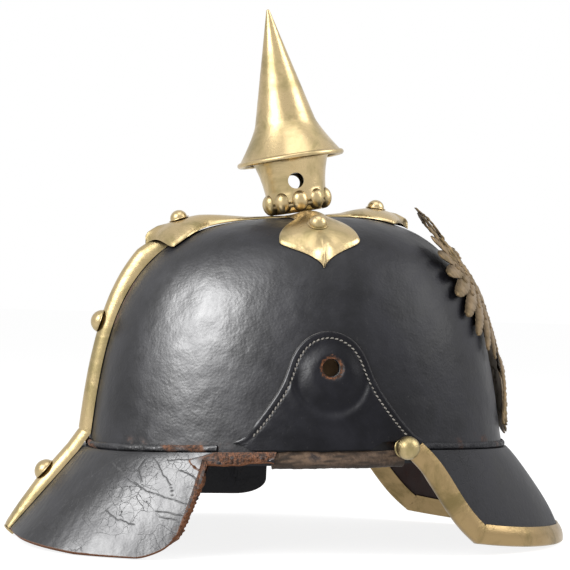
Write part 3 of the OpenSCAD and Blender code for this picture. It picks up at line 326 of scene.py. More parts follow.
def torn_az(az, t):
    """Azimuth moved back by a bell of the depth near the tear, so that its edge swings under the seam."""
    near = clamp((az - GUARD_TEAR_AZ + 14) / 14) * clamp((GUARD_TEAR_AZ + 2 - az) / 2)
    return az - TEAR_SWING * near * np.exp(-(((t - 0.1) / 0.09) ** 2))


def spine_line(k):
    """Middle line of the spine: up the guard for k under 1, then up the dome."""
    k = np.asarray(k, float)
    low = guard_pt(np.full_like(k, 180), 1.01 - 0.95 * np.minimum(k, 0.96), GUARD_T)
    high = dome_pt(np.full_like(k, 180), SPINE_TOP_T * (np.maximum(k, 1.05) - 1) ** 2, 0)
    return mix(low, high, clamp((k - 0.96) / 0.09)[..., None])


def spine_frame(k):
    """Middle point, direction and outward direction of the spine."""
    d = unit(spine_line(k + 0.03) - spine_line(k - 0.03))
    return spine_line(k), d, np.stack([0 * d[..., 0], d[..., 2], -d[..., 1]], -1)


def spine_rise(k):
    """Height of the half round: low at the foot, deeper towards the crown, flatter under the cross."""
    low = mix(SPINE_END_H, SPINE_H, clamp(k / 0.5) ** 0.7)
    flat = mix(SPINE_H, SPINE_END_H, clamp((k - SPINE_FLAT) / (SPINE_TOP - SPINE_FLAT)))
    return np.where(k < 1, low, flat + 3.3 * clamp((k - SPINE_DEEPER) / 0.5) ** 1.6)


def spine_pt(k, angle, less):
    """Point of the spine's half round section at an angle in degrees, less a thickness. Its edges reach
    down to the leather."""
    k, angle = np.broadcast_arrays(np.asarray(k, float), angle)
    p, _, n = spine_frame(k)
    lift = EDGE_GAP + (SPINE_GAP - EDGE_GAP + spine_rise(k) - less) * np.sin(np.radians(angle))
    point = p + n * lift[..., None]
    point[..., 0] = (SPINE_W / 2 - less) * np.cos(np.radians(angle))
    return point


def arm_width(d, stud_at):
    """Half width of an arm of the cross: straight, then a leaf that ends in a point."""
    q = (d - stud_at + LEAF_BEFORE) / (LEAF_BEFORE + LEAF_AFTER)
    grow = mix(ARM_HALF_W, LEAF_HALF_W, np.sin(np.radians(90 * clamp(q / LEAF_WIDEST))) ** 1.4)
    tail = clamp((q - LEAF_WIDEST) / (1 - LEAF_WIDEST)) ** 0.9
    fall = 0.3 + LEAF_HALF_W * (0.5 + 0.5 * np.cos(np.pi * tail)) ** 0.8
    return np.where(q <= 0, ARM_HALF_W, np.where(q < LEAF_WIDEST, grow, fall))


def arm_pt(k, d, v, layer):
    """Point of arm k at a distance from the cross's middle and a share v of its half width. Where the arm
    is lifted, its edges bend back down to the skull."""
    turn, stud_at = np.radians(90 * k), ARM_STUD_AT[k]
    w = np.where(d <= ARM_HALF_W, np.maximum(d, 0), arm_width(d, stud_at))
    share = clamp((d - LIFT_FROM[k]) / (stud_at + LEAF_AFTER - LIFT_FROM[k]))
    lift = {2: REAR_LIFT * share**1.7, 0: FRONT_LIFT * np.sin(np.radians(165 * share))}.get(k, 0 * share)
    crown = mix(FOOT_CROWN, ARM_CROWN, clamp((d - CROWN_FROM[k]) / (CROWN_FULL[k] - CROWN_FROM[k])))
    rise = crown * (1 - v * v * np.where(d < ARM_HALF_W, (d / ARM_HALF_W) ** 2, 1))
    q = (d - stud_at + LEAF_BEFORE) / (LEAF_BEFORE + LEAF_AFTER)
    hug = 0.9 * np.where(q < LEAF_WIDEST, 1, np.minimum(1, arm_width(d, stud_at) / LEAF_HALF_W) ** 2)
    lift = lift * (1 - hug * v * v)
    point = crown_pt(CROSS_MID + d * np.cos(turn) - v * w * np.sin(turn),
                     d * np.sin(turn) + v * w * np.cos(turn), SEAT + layer)
    point[..., 2] += rise + lift
    return point


def on_axis(points):
    """Moves points of the spike's own frame to its leaning axis, with height 0 at the spike's foot. The
    neck's heel rests on the cross behind its middle."""
    x, y, z = np.moveaxis(points, -1, 0)
    c, s = np.cos(LEAN), np.sin(LEAN)
    heel_up = crown_pt(HEEL_AHEAD, np.array(0.0), SEAT + CROSS_T)[2] + FOOT_CROWN + SEAT
    ahead, up = HEEL_AHEAD + FOOT_R * c - NECK_H * s, heel_up + FOOT_R * s + NECK_H * c
    return np.stack([x, y * c + z * s - ahead, z * c - y * s + up], -1)


def spike_r(h):
    """Radius of the spike: a cone with a flare added at the foot."""
    flare = (FLARE_R - CONE_FOOT_R) * np.maximum(0, 1 - h / FLARE_H) ** 1.35
    return mix(CONE_FOOT_R, TIP_R, h / (SPIKE_H - TIP_R)) + flare


def neck_r(h):
    """Radius of the neck from its foot to the spike, straight between stations at shares of its height."""
    stations = np.array([[-1, FOOT_R], [-0.9, 14.6], [-0.8, WAIST_R + 0.5], [-0.6, WAIST_R],
                         [-0.42, WAIST_R + 0.7], [-0.25, WAIST_R + 1.7], [-0.1, WAIST_R + 3],
                         [0.0172, WAIST_R + 4.1]])
    return np.interp(h, stations[:, 0] * NECK_H, stations[:, 1])


def plate_at(left, up, out):
    """Point of the eagle plate's surface, which bends back with the skull by a power of its height, ahead
    at its foot and back towards its sides."""
    left, up = np.broadcast_arrays(np.asarray(left, float), np.asarray(up, float))
    ahead = PLATE_AHEAD - 0.00262 * np.maximum(0, up - 15) ** 2.09 - 0.008 * left * left
    return at(ahead + 0.025 * np.maximum(0, 12 - up) ** 2 + out, left, up)


def seated(points, p, n):
    """Turns points so that their Z looks along n, and moves them to p."""
    n = unit(np.asarray(n, float))
    tilt, turn = np.arccos(n[2]), np.arctan2(n[1], n[0])
    ct, st, cz, sz = np.cos(tilt), np.sin(tilt), np.cos(turn), np.sin(turn)
    matrix = np.array([[ct * cz, -sz, st * cz], [ct * sz, cz, st * sz], [-st, 0, ct]])
    return points @ matrix.T + p


def waves(points, pitch, seed, count=7):
    """Smooth noise between about -1 and 1: a sum of sines in fixed random directions."""
    dice = np.random.default_rng(seed)
    ways = unit(dice.normal(size=(count, 3))) * (2 * np.pi / pitch) * dice.uniform(0.6, 1.6, (count, 1))
    return np.sin(points @ ways.T + dice.uniform(0, 6.3, count)).sum(-1) / np.sqrt(count) / 1.4


def border_distance(points, border):
    """Distance from each point to the nearest point of a dense border line."""
    flat = points.reshape(-1, points.shape[-1])
    near = [((part[:, None] - border[None]) ** 2).sum(-1).min(1) for part in np.array_split(flat, 40)]
    return np.sqrt(np.concatenate(near)).reshape(points.shape[:-1])


# Making meshes
def grid_quads(rows, cols, loop):
    """Quads of a grid of points, whose last column joins the first in a loop."""
    i, j = np.meshgrid(np.arange(rows - 1), np.arange(cols if loop else cols - 1), indexing="ij")
    k = (j + 1) % cols
    return np.stack([i * cols + j, i * cols + k, (i + 1) * cols + k, (i + 1) * cols + j], -1).reshape(-1, 4)


def shell(outer, inner, loop=False):
    """Closed sheet between an outer and an inner grid: both faces, and walls along the borders."""
    rows, cols = outer.shape[:2]
    n = rows * cols
    top = grid_quads(rows, cols, loop)
    ids = np.arange(n).reshape(rows, cols)
    around = np.append(ids, ids[:, :1], 1) if loop else ids
    edges = [np.stack([around[0, 1:], around[0, :-1]], -1), np.stack([around[-1, :-1], around[-1, 1:]], -1)]
    if not loop:
        edges.append(np.stack([ids[:-1, 0], ids[1:, 0]], -1))
        edges.append(np.stack([ids[1:, -1], ids[:-1, -1]], -1))
    e = np.concatenate(edges)
    walls = np.stack([e[:, 0], e[:, 1], e[:, 1] + n, e[:, 0] + n], -1)
    faces = np.concatenate([top, top[:, ::-1] + n, walls])
    verts = np.concatenate([outer.reshape(-1, 3), inner.reshape(-1, 3)])
    return verts, outward(verts, faces)


def outward(verts, faces):
    """Turns all faces if the volume that they close comes out negative."""
    a, b, c, d = (verts[faces[:, i]] for i in range(4))
    volume = (a * np.cross(b, c)).sum() + (a * np.cross(c, d)).sum()
    return faces if volume > 0 else faces[:, ::-1]


def revolve(profile, turns, closed=True):
    """Turns a closed profile of radius and height round Z."""
    angle = np.linspace(0, 2 * np.pi, turns, endpoint=False)
    r, z = profile[:, 0][:, None], profile[:, 1][:, None]
    points = np.stack([r * np.cos(angle), r * np.sin(angle), z + 0 * angle], -1)
    faces = grid_quads(len(profile), turns, True)
    if closed:
        last = (len(profile) - 1) * turns
        j = np.arange(turns)
        k = (j + 1) % turns
        faces = np.concatenate([faces, np.stack([last + j, last + k, k, j], -1)])
    verts = points.reshape(-1, 3)
    return verts, outward(verts, faces)


def gather(parts):
    """Joins several lists of points and faces into one."""
    counts = np.cumsum([0] + [len(v) for v, _ in parts])
    return np.concatenate([v for v, _ in parts]), np.concatenate([f + c for (_, f), c in zip(parts, counts)])


def piece(name, shape, finish, body="helmet", slot=None, replaces=(), marks=None, sharp=35, bevel=None,
          merge=False):
    """One finished object from points in the level frame, with named values on its points, where those of
    an outer face count for its inner one too. Its edges are sharp over an angle in degrees and may be
    rounded by a bevel in mm. The black leather also joins the collection that the sheen lamp lights."""
    verts, faces = shape
    mesh = bpy.data.meshes.new(name)
    mesh.from_pydata(stand(verts).tolist(), [], faces.tolist())
    for key, values in (marks or {}).items():
        held = np.resize(values.ravel(), len(verts)).astype(np.float32)
        mesh.attributes.new(key, "FLOAT", "POINT").data.foreach_set("value", held)
    obj = bpy.data.objects.new(name, mesh)
    bpy.context.scene.collection.objects.link(obj)
    if merge:
        weld(obj)
    mesh.validate()
    mesh.polygons.foreach_set("use_smooth", np.ones(len(mesh.polygons), bool))
    mesh.set_sharp_from_angle(angle=np.radians(sharp))
    if bevel:
        soften = obj.modifiers.new("rounded edges", "BEVEL")
        soften.width, soften.segments = bevel / 1000, 3
        soften.limit_method, soften.angle_limit = "ANGLE", np.radians(50)
    mesh.materials.append(finish_of(finish))
    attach(obj, body)
    if slot == "black_leather":
        bpy.data.collections[SHEEN_LIT].objects.link(obj)
    if replaces:
        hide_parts(*replaces)
    return obj


def weld(obj, distance=1e-5):
    """Merges doubled points and turns the faces outwards."""
    mesh = bmesh.new()
    mesh.from_mesh(obj.data)
    bmesh.ops.remove_doubles(mesh, verts=mesh.verts, dist=distance)
    bmesh.ops.recalc_face_normals(mesh, faces=mesh.faces)
    mesh.to_mesh(obj.data)
    mesh.free()


def bored(obj, cylinders):
    """Cuts round holes: each is a start and an end in the level frame and a radius in mm."""
    parts = []
    for start, end, r in cylinders:
        length = np.linalg.norm(np.subtract(end, start))
        profile = np.array([[0.0, 0], [r, 0], [r, length], [0.0, length]])
        verts, faces = revolve(profile, 72, False)
        parts.append((seated(verts, start, np.subtract(end, start)), faces))
    verts, faces = gather(parts)
    mesh = bpy.data.meshes.new("drill")
    mesh.from_pydata(stand(verts).tolist(), [], faces.tolist())
    drill = bpy.data.objects.new("drill", mesh)
    bpy.context.scene.collection.objects.link(drill)
    weld(drill)
    cut = obj.modifiers.new("holes", "BOOLEAN")
    cut.operation, cut.object, cut.solver = "DIFFERENCE", drill, "EXACT"
    done = bpy.data.meshes.new_from_object(obj.evaluated_get(bpy.context.evaluated_depsgraph_get()))
    obj.modifiers.remove(cut)
    old, obj.data = obj.data, done
    done.name = old.name
    bpy.data.meshes.remove(old)
    bpy.data.objects.remove(drill)
    bpy.data.meshes.remove(mesh)
    obj.data.set_sharp_from_angle(angle=np.radians(35))


# Node groups and materials
def put(tree, kind, values=None, **settings):
    """Adds a node, sets its settings, and fills its inputs with links or numbers."""
    made = tree.nodes.new(kind)
    for key, value in settings.items():
        setattr(made, key, value)
    for key, value in (values or {}).items():
        socket = made.inputs[key]
        if isinstance(value, bpy.types.NodeSocket):
            tree.links.new(value, socket)
        else:
            socket.default_value = value
    return made


def maths(tree, way, a, b=0.0, c=0.0):
    """Result of one operation on up to three values."""
    return put(tree, "ShaderNodeMath", {0: a, 1: b, 2: c}, operation=way).outputs[0]


def ramp(tree, value, low, high, first=0.0, last=1.0):
    """Smooth step of a value between two limits."""
    values = {"Value": value, "From Min": low, "From Max": high, "To Min": first, "To Max": last}
    return put(tree, "ShaderNodeMapRange", values, interpolation_type="SMOOTHSTEP").outputs[0]


def blend_colours(tree, share, a, b):
    """Colour at a share of the way from a to b."""
    return put(tree, "ShaderNodeMix", {0: share, 6: a, 7: b}, data_type="RGBA").outputs[2]


def blend_floats(tree, share, a, b):
    """Value at a share of the way from a to b."""
    return put(tree, "ShaderNodeMix", {0: share, 2: a, 3: b}, data_type="FLOAT").outputs[0]


def noise(tree, place, scale, detail, rough, warp=0.0):
    """Cloudy noise of so many waves per metre."""
    values = {"Vector": place, "Scale": scale, "Detail": detail, "Roughness": rough, "Distortion": warp}
    return put(tree, "ShaderNodeTexNoise", values).outputs["Fac"]


def new_group(name, inputs, outputs):
    """An empty shader node group with its sockets: names with a default, or None for a vector."""
    tree = bpy.data.node_groups.new(name, "ShaderNodeTree")
    for label, default in inputs.items():
        kind = "NodeSocketVector" if default is None else "NodeSocketFloat"
        socket = tree.interface.new_socket(label, in_out="INPUT", socket_type=kind)
        if default is not None:
            socket.default_value = default
    for label in outputs:
        tree.interface.new_socket(label, in_out="OUTPUT", socket_type="NodeSocketFloat")
    return tree, tree.nodes.new("NodeGroupInput").outputs, tree.nodes.new("NodeGroupOutput")


def grain_group():
    """Leather grain: fine pebbles, broader lumps and soft blotches."""
    tree, given, out = new_group("leather grain", {"Place": None, "Pebbles": 900.0, "Lumps": 90.0},
                                 ["Height", "Blotches"])
    pebbles = put(tree, "ShaderNodeTexVoronoi", {"Vector": given["Place"], "Scale": given["Pebbles"]},
                  feature="SMOOTH_F1").outputs["Distance"]
    lumps = noise(tree, given["Place"], given["Lumps"], 3.0, 0.6)
    height = maths(tree, "MULTIPLY_ADD", pebbles, 0.12, lumps)
    tree.links.new(height, out.inputs["Height"])
    blotches = noise(tree, given["Place"], maths(tree, "MULTIPLY", given["Lumps"], 0.4), 6.0, 0.65, 0.4)
    tree.links.new(blotches, out.inputs["Blotches"])
    return tree


def crackle_group():
    """Cracked lacquer: the edges of warped cells of two sizes, broken up by a mask."""
    inputs = {"Place": None, "Cells": 150.0, "Width": 0.03, "Amount": 0.5}
    tree, given, out = new_group("cracked lacquer", inputs, ["Cracks"])
    values = {"Vector": given["Place"], "Scale": 180.0, "Detail": 3.0}
    warp = put(tree, "ShaderNodeTexNoise", values).outputs["Color"]
    shift = put(tree, "ShaderNodeVectorMath", {0: warp, "Scale": 0.004}, operation="SCALE").outputs[0]
    place = put(tree, "ShaderNodeVectorMath", {0: given["Place"], 1: shift}, operation="ADD").outputs[0]
    lines = []
    for size, thin in ((1.0, 1.0), (2.7, 1.6)):
        values = {"Vector": place, "Scale": maths(tree, "MULTIPLY", given["Cells"], size)}
        cells = put(tree, "ShaderNodeTexVoronoi", values, feature="DISTANCE_TO_EDGE").outputs["Distance"]
        wide = maths(tree, "MULTIPLY", given["Width"], thin)
        lines.append(maths(tree, "SUBTRACT", 1.0, ramp(tree, maths(tree, "DIVIDE", cells, wide), 0.3, 1.0)))
    where = noise(tree, given["Place"], 28.0, 3.0, 0.6)
    low = maths(tree, "SUBTRACT", 0.95, given["Amount"])
    mask = ramp(tree, maths(tree, "SUBTRACT", where, low), -0.12, 0.1)
    fine = maths(tree, "MULTIPLY", lines[1], maths(tree, "MULTIPLY", mask, mask))
    cracks = maths(tree, "MAXIMUM", maths(tree, "MULTIPLY", lines[0], mask), fine)
    tree.links.new(cracks, out.inputs["Cracks"])
    return tree


def scuff_group():
    """Scuffs: thin streaks of stretched noise, and specks."""
    inputs = {"Place": None, "Scale": 60.0, "Amount": 0.5}
    tree, given, out = new_group("scuffs", inputs, ["Streaks", "Specks"])
    stretched = put(tree, "ShaderNodeMapping", {"Vector": given["Place"], "Rotation": (0.5, 0.3, 0.9),
                                                "Scale": (1.0, 9.0, 1.0)}).outputs[0]
    lines = noise(tree, stretched, given["Scale"], 8.0, 0.75)
    low = maths(tree, "SUBTRACT", 0.86, maths(tree, "MULTIPLY", given["Amount"], 0.25))
    tree.links.new(ramp(tree, maths(tree, "SUBTRACT", lines, low), 0.0, 0.06), out.inputs["Streaks"])
    specks = noise(tree, given["Place"], maths(tree, "MULTIPLY", given["Scale"], 14.0), 2.0, 0.5)
    tree.links.new(ramp(tree, maths(tree, "SUBTRACT", specks, low), -0.04, 0.03), out.inputs["Specks"])
    return tree


def rub_group():
    """Wear along an edge: a distance from the edge in mm, roughened by noise."""
    tree, given, out = new_group("edge wear", {"Place": None, "Distance": 5.0, "Width": 1.0}, ["Wear"])
    rough = noise(tree, given["Place"], 420.0, 5.0, 0.7)
    reach = maths(tree, "MULTIPLY", given["Width"], maths(tree, "MULTIPLY_ADD", rough, 2.4, -0.5))
    past = ramp(tree, maths(tree, "SUBTRACT", given["Distance"], reach), -0.15, 0.15)
    tree.links.new(maths(tree, "SUBTRACT", 1.0, past), out.inputs["Wear"])
    return tree


def tarnish_group():
    """Brass tarnish: broad olive clouds, reddish stains and fine rub marks."""
    inputs = {"Place": None, "Scale": 45.0}
    tree, given, out = new_group("brass tarnish", inputs, ["Clouds", "Stains", "Rubs"])
    clouds = noise(tree, given["Place"], given["Scale"], 7.0, 0.68, 0.6)
    tree.links.new(ramp(tree, clouds, 0.42, 0.68), out.inputs["Clouds"])
    stains = noise(tree, given["Place"], maths(tree, "MULTIPLY", given["Scale"], 2.2), 8.0, 0.75, 1.0)
    tree.links.new(ramp(tree, stains, 0.62, 0.72), out.inputs["Stains"])
    stretched = put(tree, "ShaderNodeMapping", {"Vector": given["Place"], "Rotation": (0.2, 0.7, 0.4),
                                                "Scale": (1.0, 1.0, 14.0)}).outputs[0]
    tree.links.new(noise(tree, stretched, 260.0, 4.0, 0.7), out.inputs["Rubs"])
    return tree


# Node groups by name, each made when it is first asked for
GROUP_MAKERS = {"grain": grain_group, "crackle": crackle_group, "scuffs": scuff_group, "rub": rub_group,
                "tarnish": tarnish_group}
GROUPS = {}


def grouped(tree, name, values):
    """Adds a group and gives its outputs. Each group is made once, when a material first asks for it."""
    if name not in GROUPS:
        GROUPS[name] = GROUP_MAKERS[name]()
    return put(tree, "ShaderNodeGroup", values, node_tree=GROUPS[name]).outputs


def start_material(name, **fixed):
    """An empty material with its Principled shader, its fixed values and the object's coordinates."""
    material = bpy.data.materials.new(name)
    material.use_nodes = True
    tree = material.node_tree
    shader = tree.nodes["Principled BSDF"]
    for key, value in fixed.items():
        shader.inputs[key.replace("_", " ")].default_value = value
    return material, tree, shader, put(tree, "ShaderNodeTexCoord").outputs["Object"]


def finish_material(tree, shader, colour, roughness, height, depth):
    """Links the colour, the roughness and a bump of a depth in metres to the shader."""
    tree.links.new(colour, shader.inputs["Base Color"])
    tree.links.new(roughness, shader.inputs["Roughness"])
    bump = put(tree, "ShaderNodeBump", {"Height": height, "Distance": depth, "Strength": 1.0})
    tree.links.new(bump.outputs[0], shader.inputs["Normal"])


def attribute(tree, name):
    """Values that a piece holds on its points."""
    return put(tree, "ShaderNodeAttribute", attribute_name=name).outputs["Fac"]


def rgba(colour, gain=1.0):
    """Colour times a gain, up to 1, and opaque."""
    return tuple(min(1.0, c * gain) for c in colour) + (1.0,)


def lacquered(name, look, gloss, cracks=0.0, cells=150.0, width=0.03, edge=None, worn=None, marked=False,
              drawn=False, shine=0.22):
    """Black lacquered leather of a roughness gloss and a specular level shine. It is crazed by an amount of
    cracks, with cells per metre and a width of line. Along its edge it is worn by so many mm to the raw
    hide, or to the colour worn, which on the side patches is a pale grey line of edge wear and painted
    highlight along the cut edge. A marked piece holds its bare places in the attribute mark, a drawn one its
    long cracks in the attribute crack."""
    material, tree, shader, place = start_material(name, Specular_IOR_Level=shine)
    grain = grouped(tree, "grain", {"Place": place, "Pebbles": look.pebbles, "Lumps": 95.0})
    scuffs = grouped(tree, "scuffs", {"Place": place, "Scale": 42.0, "Amount": look.scuffs})
    tone = ramp(tree, grain["Blotches"], 0.35, 0.7)
    colour = blend_colours(tree, tone, rgba(look.lacquer), rgba(look.lacquer, 2.1))
    colour = blend_colours(tree, maths(tree, "MULTIPLY", scuffs["Streaks"], 0.35), colour, rgba(look.dust))
    colour = blend_colours(tree, maths(tree, "MULTIPLY", scuffs["Specks"], 0.07), colour, rgba(look.dust))
    rough = maths(tree, "MULTIPLY_ADD", tone, 0.1, gloss)
    rough = maths(tree, "MULTIPLY_ADD", scuffs["Streaks"], 0.15, rough)
    height = grain["Height"]
    if cracks:
        values = {"Place": place, "Cells": cells, "Width": width, "Amount": cracks}
        crazing = grouped(tree, "crackle", values)["Cracks"]
        colour = blend_colours(tree, maths(tree, "MULTIPLY", crazing, 0.4), colour, rgba(look.lacquer, 0.35))
        rough = maths(tree, "MULTIPLY_ADD", crazing, 0.3, rough)
        height = maths(tree, "MULTIPLY_ADD", crazing, -0.35, height)
    if drawn:
        deep = attribute(tree, "crack")
        colour = blend_colours(tree, maths(tree, "MULTIPLY", deep, 0.9), colour, rgba(look.lacquer, 0.3))
        rough = blend_floats(tree, deep, rough, 0.9)
    if marked:
        mark = ramp(tree, attribute(tree, "mark"), 0.1, 0.9)
        fibres = noise(tree, place, 520.0, 6.0, 0.7)
        bare = blend_colours(tree, ramp(tree, fibres, 0.4, 0.62), rgba(look.raw, 0.18), rgba(look.raw, 1.25))
        colour = blend_colours(tree, mark, colour, bare)
        rough = blend_floats(tree, mark, rough, 0.95)
    if edge:
        # Edge wear; with the colour worn of the side patches it is also a painted highlight along the cut
        # edge
        values = {"Place": place, "Distance": attribute(tree, "edge"), "Width": edge}
        rubbed = grouped(tree, "rub", values)["Wear"]
        patchy = noise(tree, place, 700.0, 4.0, 0.7)
        shown = worn or tuple(look.raw)
        hide = blend_colours(tree, patchy, rgba(shown, 0.5), rgba(shown, 1.5))
        colour = blend_colours(tree, rubbed, colour, hide)
        rough = blend_floats(tree, rubbed, rough, 0.85)
    finish_material(tree, shader, colour, rough, height, 0.00035)
    return material


def raw_hide(name, look, colour, dark=0.25, pitch=380.0, painted_shade_and_streaks=False):
    """Bare, fibrous leather: mottled between a dark share of its colour and the colour, matt and rough, with
    fibres of a pitch per metre. A piece with painted shade and streaks is smoother, and is darkened by its
    attribute shade: painted shade towards the roll's foot and top, and dark streaks along it."""
    material, tree, shader, place = start_material(name, Specular_IOR_Level=0.3)
    fibres = noise(tree, place, pitch, 8.0, 0.75, 1.2)
    stains = noise(tree, place, 60.0, 5.0, 0.6)
    mottle = maths(tree, "MULTIPLY_ADD", stains, 0.8, maths(tree, "MULTIPLY", fibres, 0.5))
    shade = blend_colours(tree, ramp(tree, mottle, 0.45, 0.9), rgba(colour, dark), rgba(colour, 1.25))
    shade = blend_colours(tree, ramp(tree, stains, 0.56, 0.7), shade, rgba(look.lacquer, 2.0))
    if painted_shade_and_streaks:
        # Painted shade towards the roll's foot and top, and dark streaks, from the attribute shade
        shade = blend_colours(tree, attribute(tree, "shade"), shade, rgba(colour, 0.12))
    rough = maths(tree, "MULTIPLY_ADD", fibres, -0.2, 0.95 - 0.3 * painted_shade_and_streaks)
    finish_material(tree, shader, shade, rough, fibres, 0.0008)
    return material


def soft_leather(name, colour, sheen=0.5, gloss=0.55):
    """Smooth dyed leather of the lining and the liner: blotched, with a fine grain."""
    material, tree, shader, place = start_material(name, Specular_IOR_Level=sheen)
    grain = grouped(tree, "grain", {"Place": place, "Pebbles": 1400.0, "Lumps": 60.0})
    rubbed = ramp(tree, grain["Blotches"], 0.4, 0.7)
    shade = blend_colours(tree, rubbed, rgba(colour, 0.6), rgba(colour, 1.3))
    rough = maths(tree, "MULTIPLY_ADD", rubbed, 0.15, gloss)
    finish_material(tree, shader, shade, rough, grain["Height"], 0.0003)
    return material


def brass_finish(name, look, colour, gloss=0.22, dark=0.5, deep=False):
    """Old polished brass of a roughness gloss, with olive clouds as dark as a share of its colour, and a few
    reddish stains. A deep one is darkened by painted shade in the low places of its attribute relief."""
    material, tree, shader, place = start_material(name, Metallic=1.0)
    marks = grouped(tree, "tarnish", {"Place": place, "Scale": 45.0})
    olive = (colour[0] * dark * 0.92, colour[1] * dark, colour[2] * dark * 0.8)
    cloudy = maths(tree, "MULTIPLY", marks["Clouds"], look.tarnish)
    shade = blend_colours(tree, cloudy, rgba(colour), rgba(olive))
    red = (colour[0] * 0.75, colour[1] * 0.5, colour[2] * 0.4)
    shade = blend_colours(tree, maths(tree, "MULTIPLY", marks["Stains"], 0.45), shade, rgba(red))
    rough = maths(tree, "MULTIPLY_ADD", marks["Rubs"], 0.12, gloss)
    rough = maths(tree, "MULTIPLY_ADD", marks["Clouds"], 0.12, rough)
    height = maths(tree, "MULTIPLY_ADD", marks["Rubs"], 0.2, marks["Clouds"])
    if deep:
        # Painted shade: the low places of the attribute relief are darkened, and made rougher
        low = maths(tree, "SUBTRACT", 1.0, ramp(tree, attribute(tree, "relief"), 0.12, 0.9))
        shade = blend_colours(tree, maths(tree, "MULTIPLY", low, 0.85), shade, rgba(look.painted_shade))
        rough = maths(tree, "MULTIPLY_ADD", low, 0.3, rough)
    finish_material(tree, shader, shade, rough, height, 0.00012)
    return material


def thread_finish(name, colour):
    """Waxed thread, twisted: fine light and dark bands."""
    material, tree, shader, place = start_material(name, Specular_IOR_Level=0.3)
    values = {"Vector": place, "Scale": 900.0, "Distortion": 2.0}
    twist = put(tree, "ShaderNodeTexWave", values).outputs["Fac"]
    shade = blend_colours(tree, twist, rgba(colour, 0.55), rgba(colour, 1.2))
    rough = maths(tree, "MULTIPLY_ADD", twist, 0.1, 0.75)
    finish_material(tree, shader, shade, rough, twist, 0.0001)
    return material


# Materials made so far, by the name of their finish
MADE = {}


def finish_of(name):
    """Material of a finish. Each is made once, when the first piece asks for it."""
    look = bpy.context.scene.helmet_look
    brass = tuple(look.brass)
    makers = {
        "skull": lambda: lacquered("skull leather", look, 0.37, marked=True),
        # The patches' pale grey edge is edge wear and a painted highlight along the cut edge
        "patch": lambda: lacquered("patch leather", look, 0.36, edge=0.22, worn=tuple(look.rubbed),
                                   marked=True, shine=0.11),
        "peak": lambda: lacquered("peak leather", look, 0.46, cracks=0.4, cells=70.0, width=0.012,
                                  shine=0.32),
        "guard": lambda: lacquered("guard leather", look, 0.4, cracks=0.42, cells=85.0, width=0.008, edge=0.3,
                                   marked=True, drawn=True),
        "welt": lambda: lacquered("welt leather", look, 0.42, cracks=0.5, cells=260.0, width=0.06,
                                  marked=True),
        "hide": lambda: raw_hide("raw hide", look, tuple(look.raw)),
        # The binding's finish is darkened by painted shade at the roll's foot and top, and by dark streaks
        "binding": lambda: raw_hide("worn binding with painted shade", look, tuple(look.rim), 0.3, 300.0, True),
        "lining": lambda: soft_leather("peak lining", tuple(look.lining)),
        "pale": lambda: soft_leather("liner leather", tuple(look.pale), 0.4, 0.6),
        "brass": lambda: brass_finish("brass", look, brass),
        "dull brass": lambda: brass_finish("dull brass", look, tuple(look.dull_brass), 0.24),
        # Pearls and eagle get painted shade in their low places from the attribute relief
        "pearls": lambda: brass_finish("pearl brass", look, brass, 0.26, deep=True),
        "bronze": lambda: brass_finish("eagle brass", look, tuple(look.bronze), 0.34, 0.4, True),
        "thread": lambda: thread_finish("thread", tuple(look.thread)),
    }
    if name not in MADE:
        MADE[name] = makers[name]()
    return MADE[name]


# Skull, patches and stitches
def skull_shape(look):
    """Dome from the rim to the crown hole. Its face sinks a little by broad waves and by the bells of its
    dents, its rim is rounded, and it is rubbed bare beside the spine and along the foot."""
    az = np.linspace(0, 360, 300, endpoint=False)[None]
    low = np.degrees(np.arcsin(np.linspace(0, 0.9, 58) ** (SKULL_UP / 2)))
    t = np.concatenate([low, np.linspace(low[-1], CROWN_HOLE_T, 52)[1:]])[:, None]
    rim = np.linspace(-RIM_DROP, 0, 6)[:-1, None]
    place = np.concatenate([skull_ring(az, 1, 0, rim), dome_pt(az, t, 0)])
    sunk = -0.18 * look.dents * (1 + waves(place, 46, 3)) - 0.06 * look.dents * (1 + waves(place, 13, 4))
    for ahead, up, side, size, depth in SKULL_DENTS:
        spot = side_pt(np.array(float(ahead)), np.array(float(up)), 0, side)
        sunk -= look.dents * depth * np.exp(-((place - spot) ** 2).sum(-1) / size**2)
    outer = np.concatenate([skull_ring(az, 1, sunk[:5], rim), dome_pt(az, t, sunk[5:])])
    inner = np.concatenate([skull_ring(az, 1, -LEATHER_T, rim), dome_pt(az, t, -LEATHER_T)])
    rounded = (0.9 * (1 - np.linspace(0, 1, 4)) ** 2 / LEATHER_T)[:, None, None]
    outer[:4] = mix(outer[:4], inner[:4], rounded)
    inner[:4] = mix(inner[:4], outer[:4], rounded)
    spine_side = np.exp(-((np.abs(outer[..., 0]) - 9) / 5) ** 2) * clamp((outer[..., 1] - 40) / 30)
    worn = spine_side * clamp(0.5 + 0.9 * waves(place, 9, 8)) * clamp((outer[..., 2] - 20) / 30)
    foot = np.exp(-(((outer[..., 2] - 3) / 3.5) ** 2)) * clamp(0.2 + waves(place, 12, 9))
    return outer, inner, 0.55 * worn + 0.4 * foot


def rosette_drills():
    """The two rosette holes, each from inside the skull to outside it."""
    ends = (SKULL_HALF_W - 31, SKULL_HALF_W + 19)
    return [(*(at(SKULL_MID, side * end, ROSETTE_UP) for end in ends), ROSETTE_R) for side in (-1, 1)]


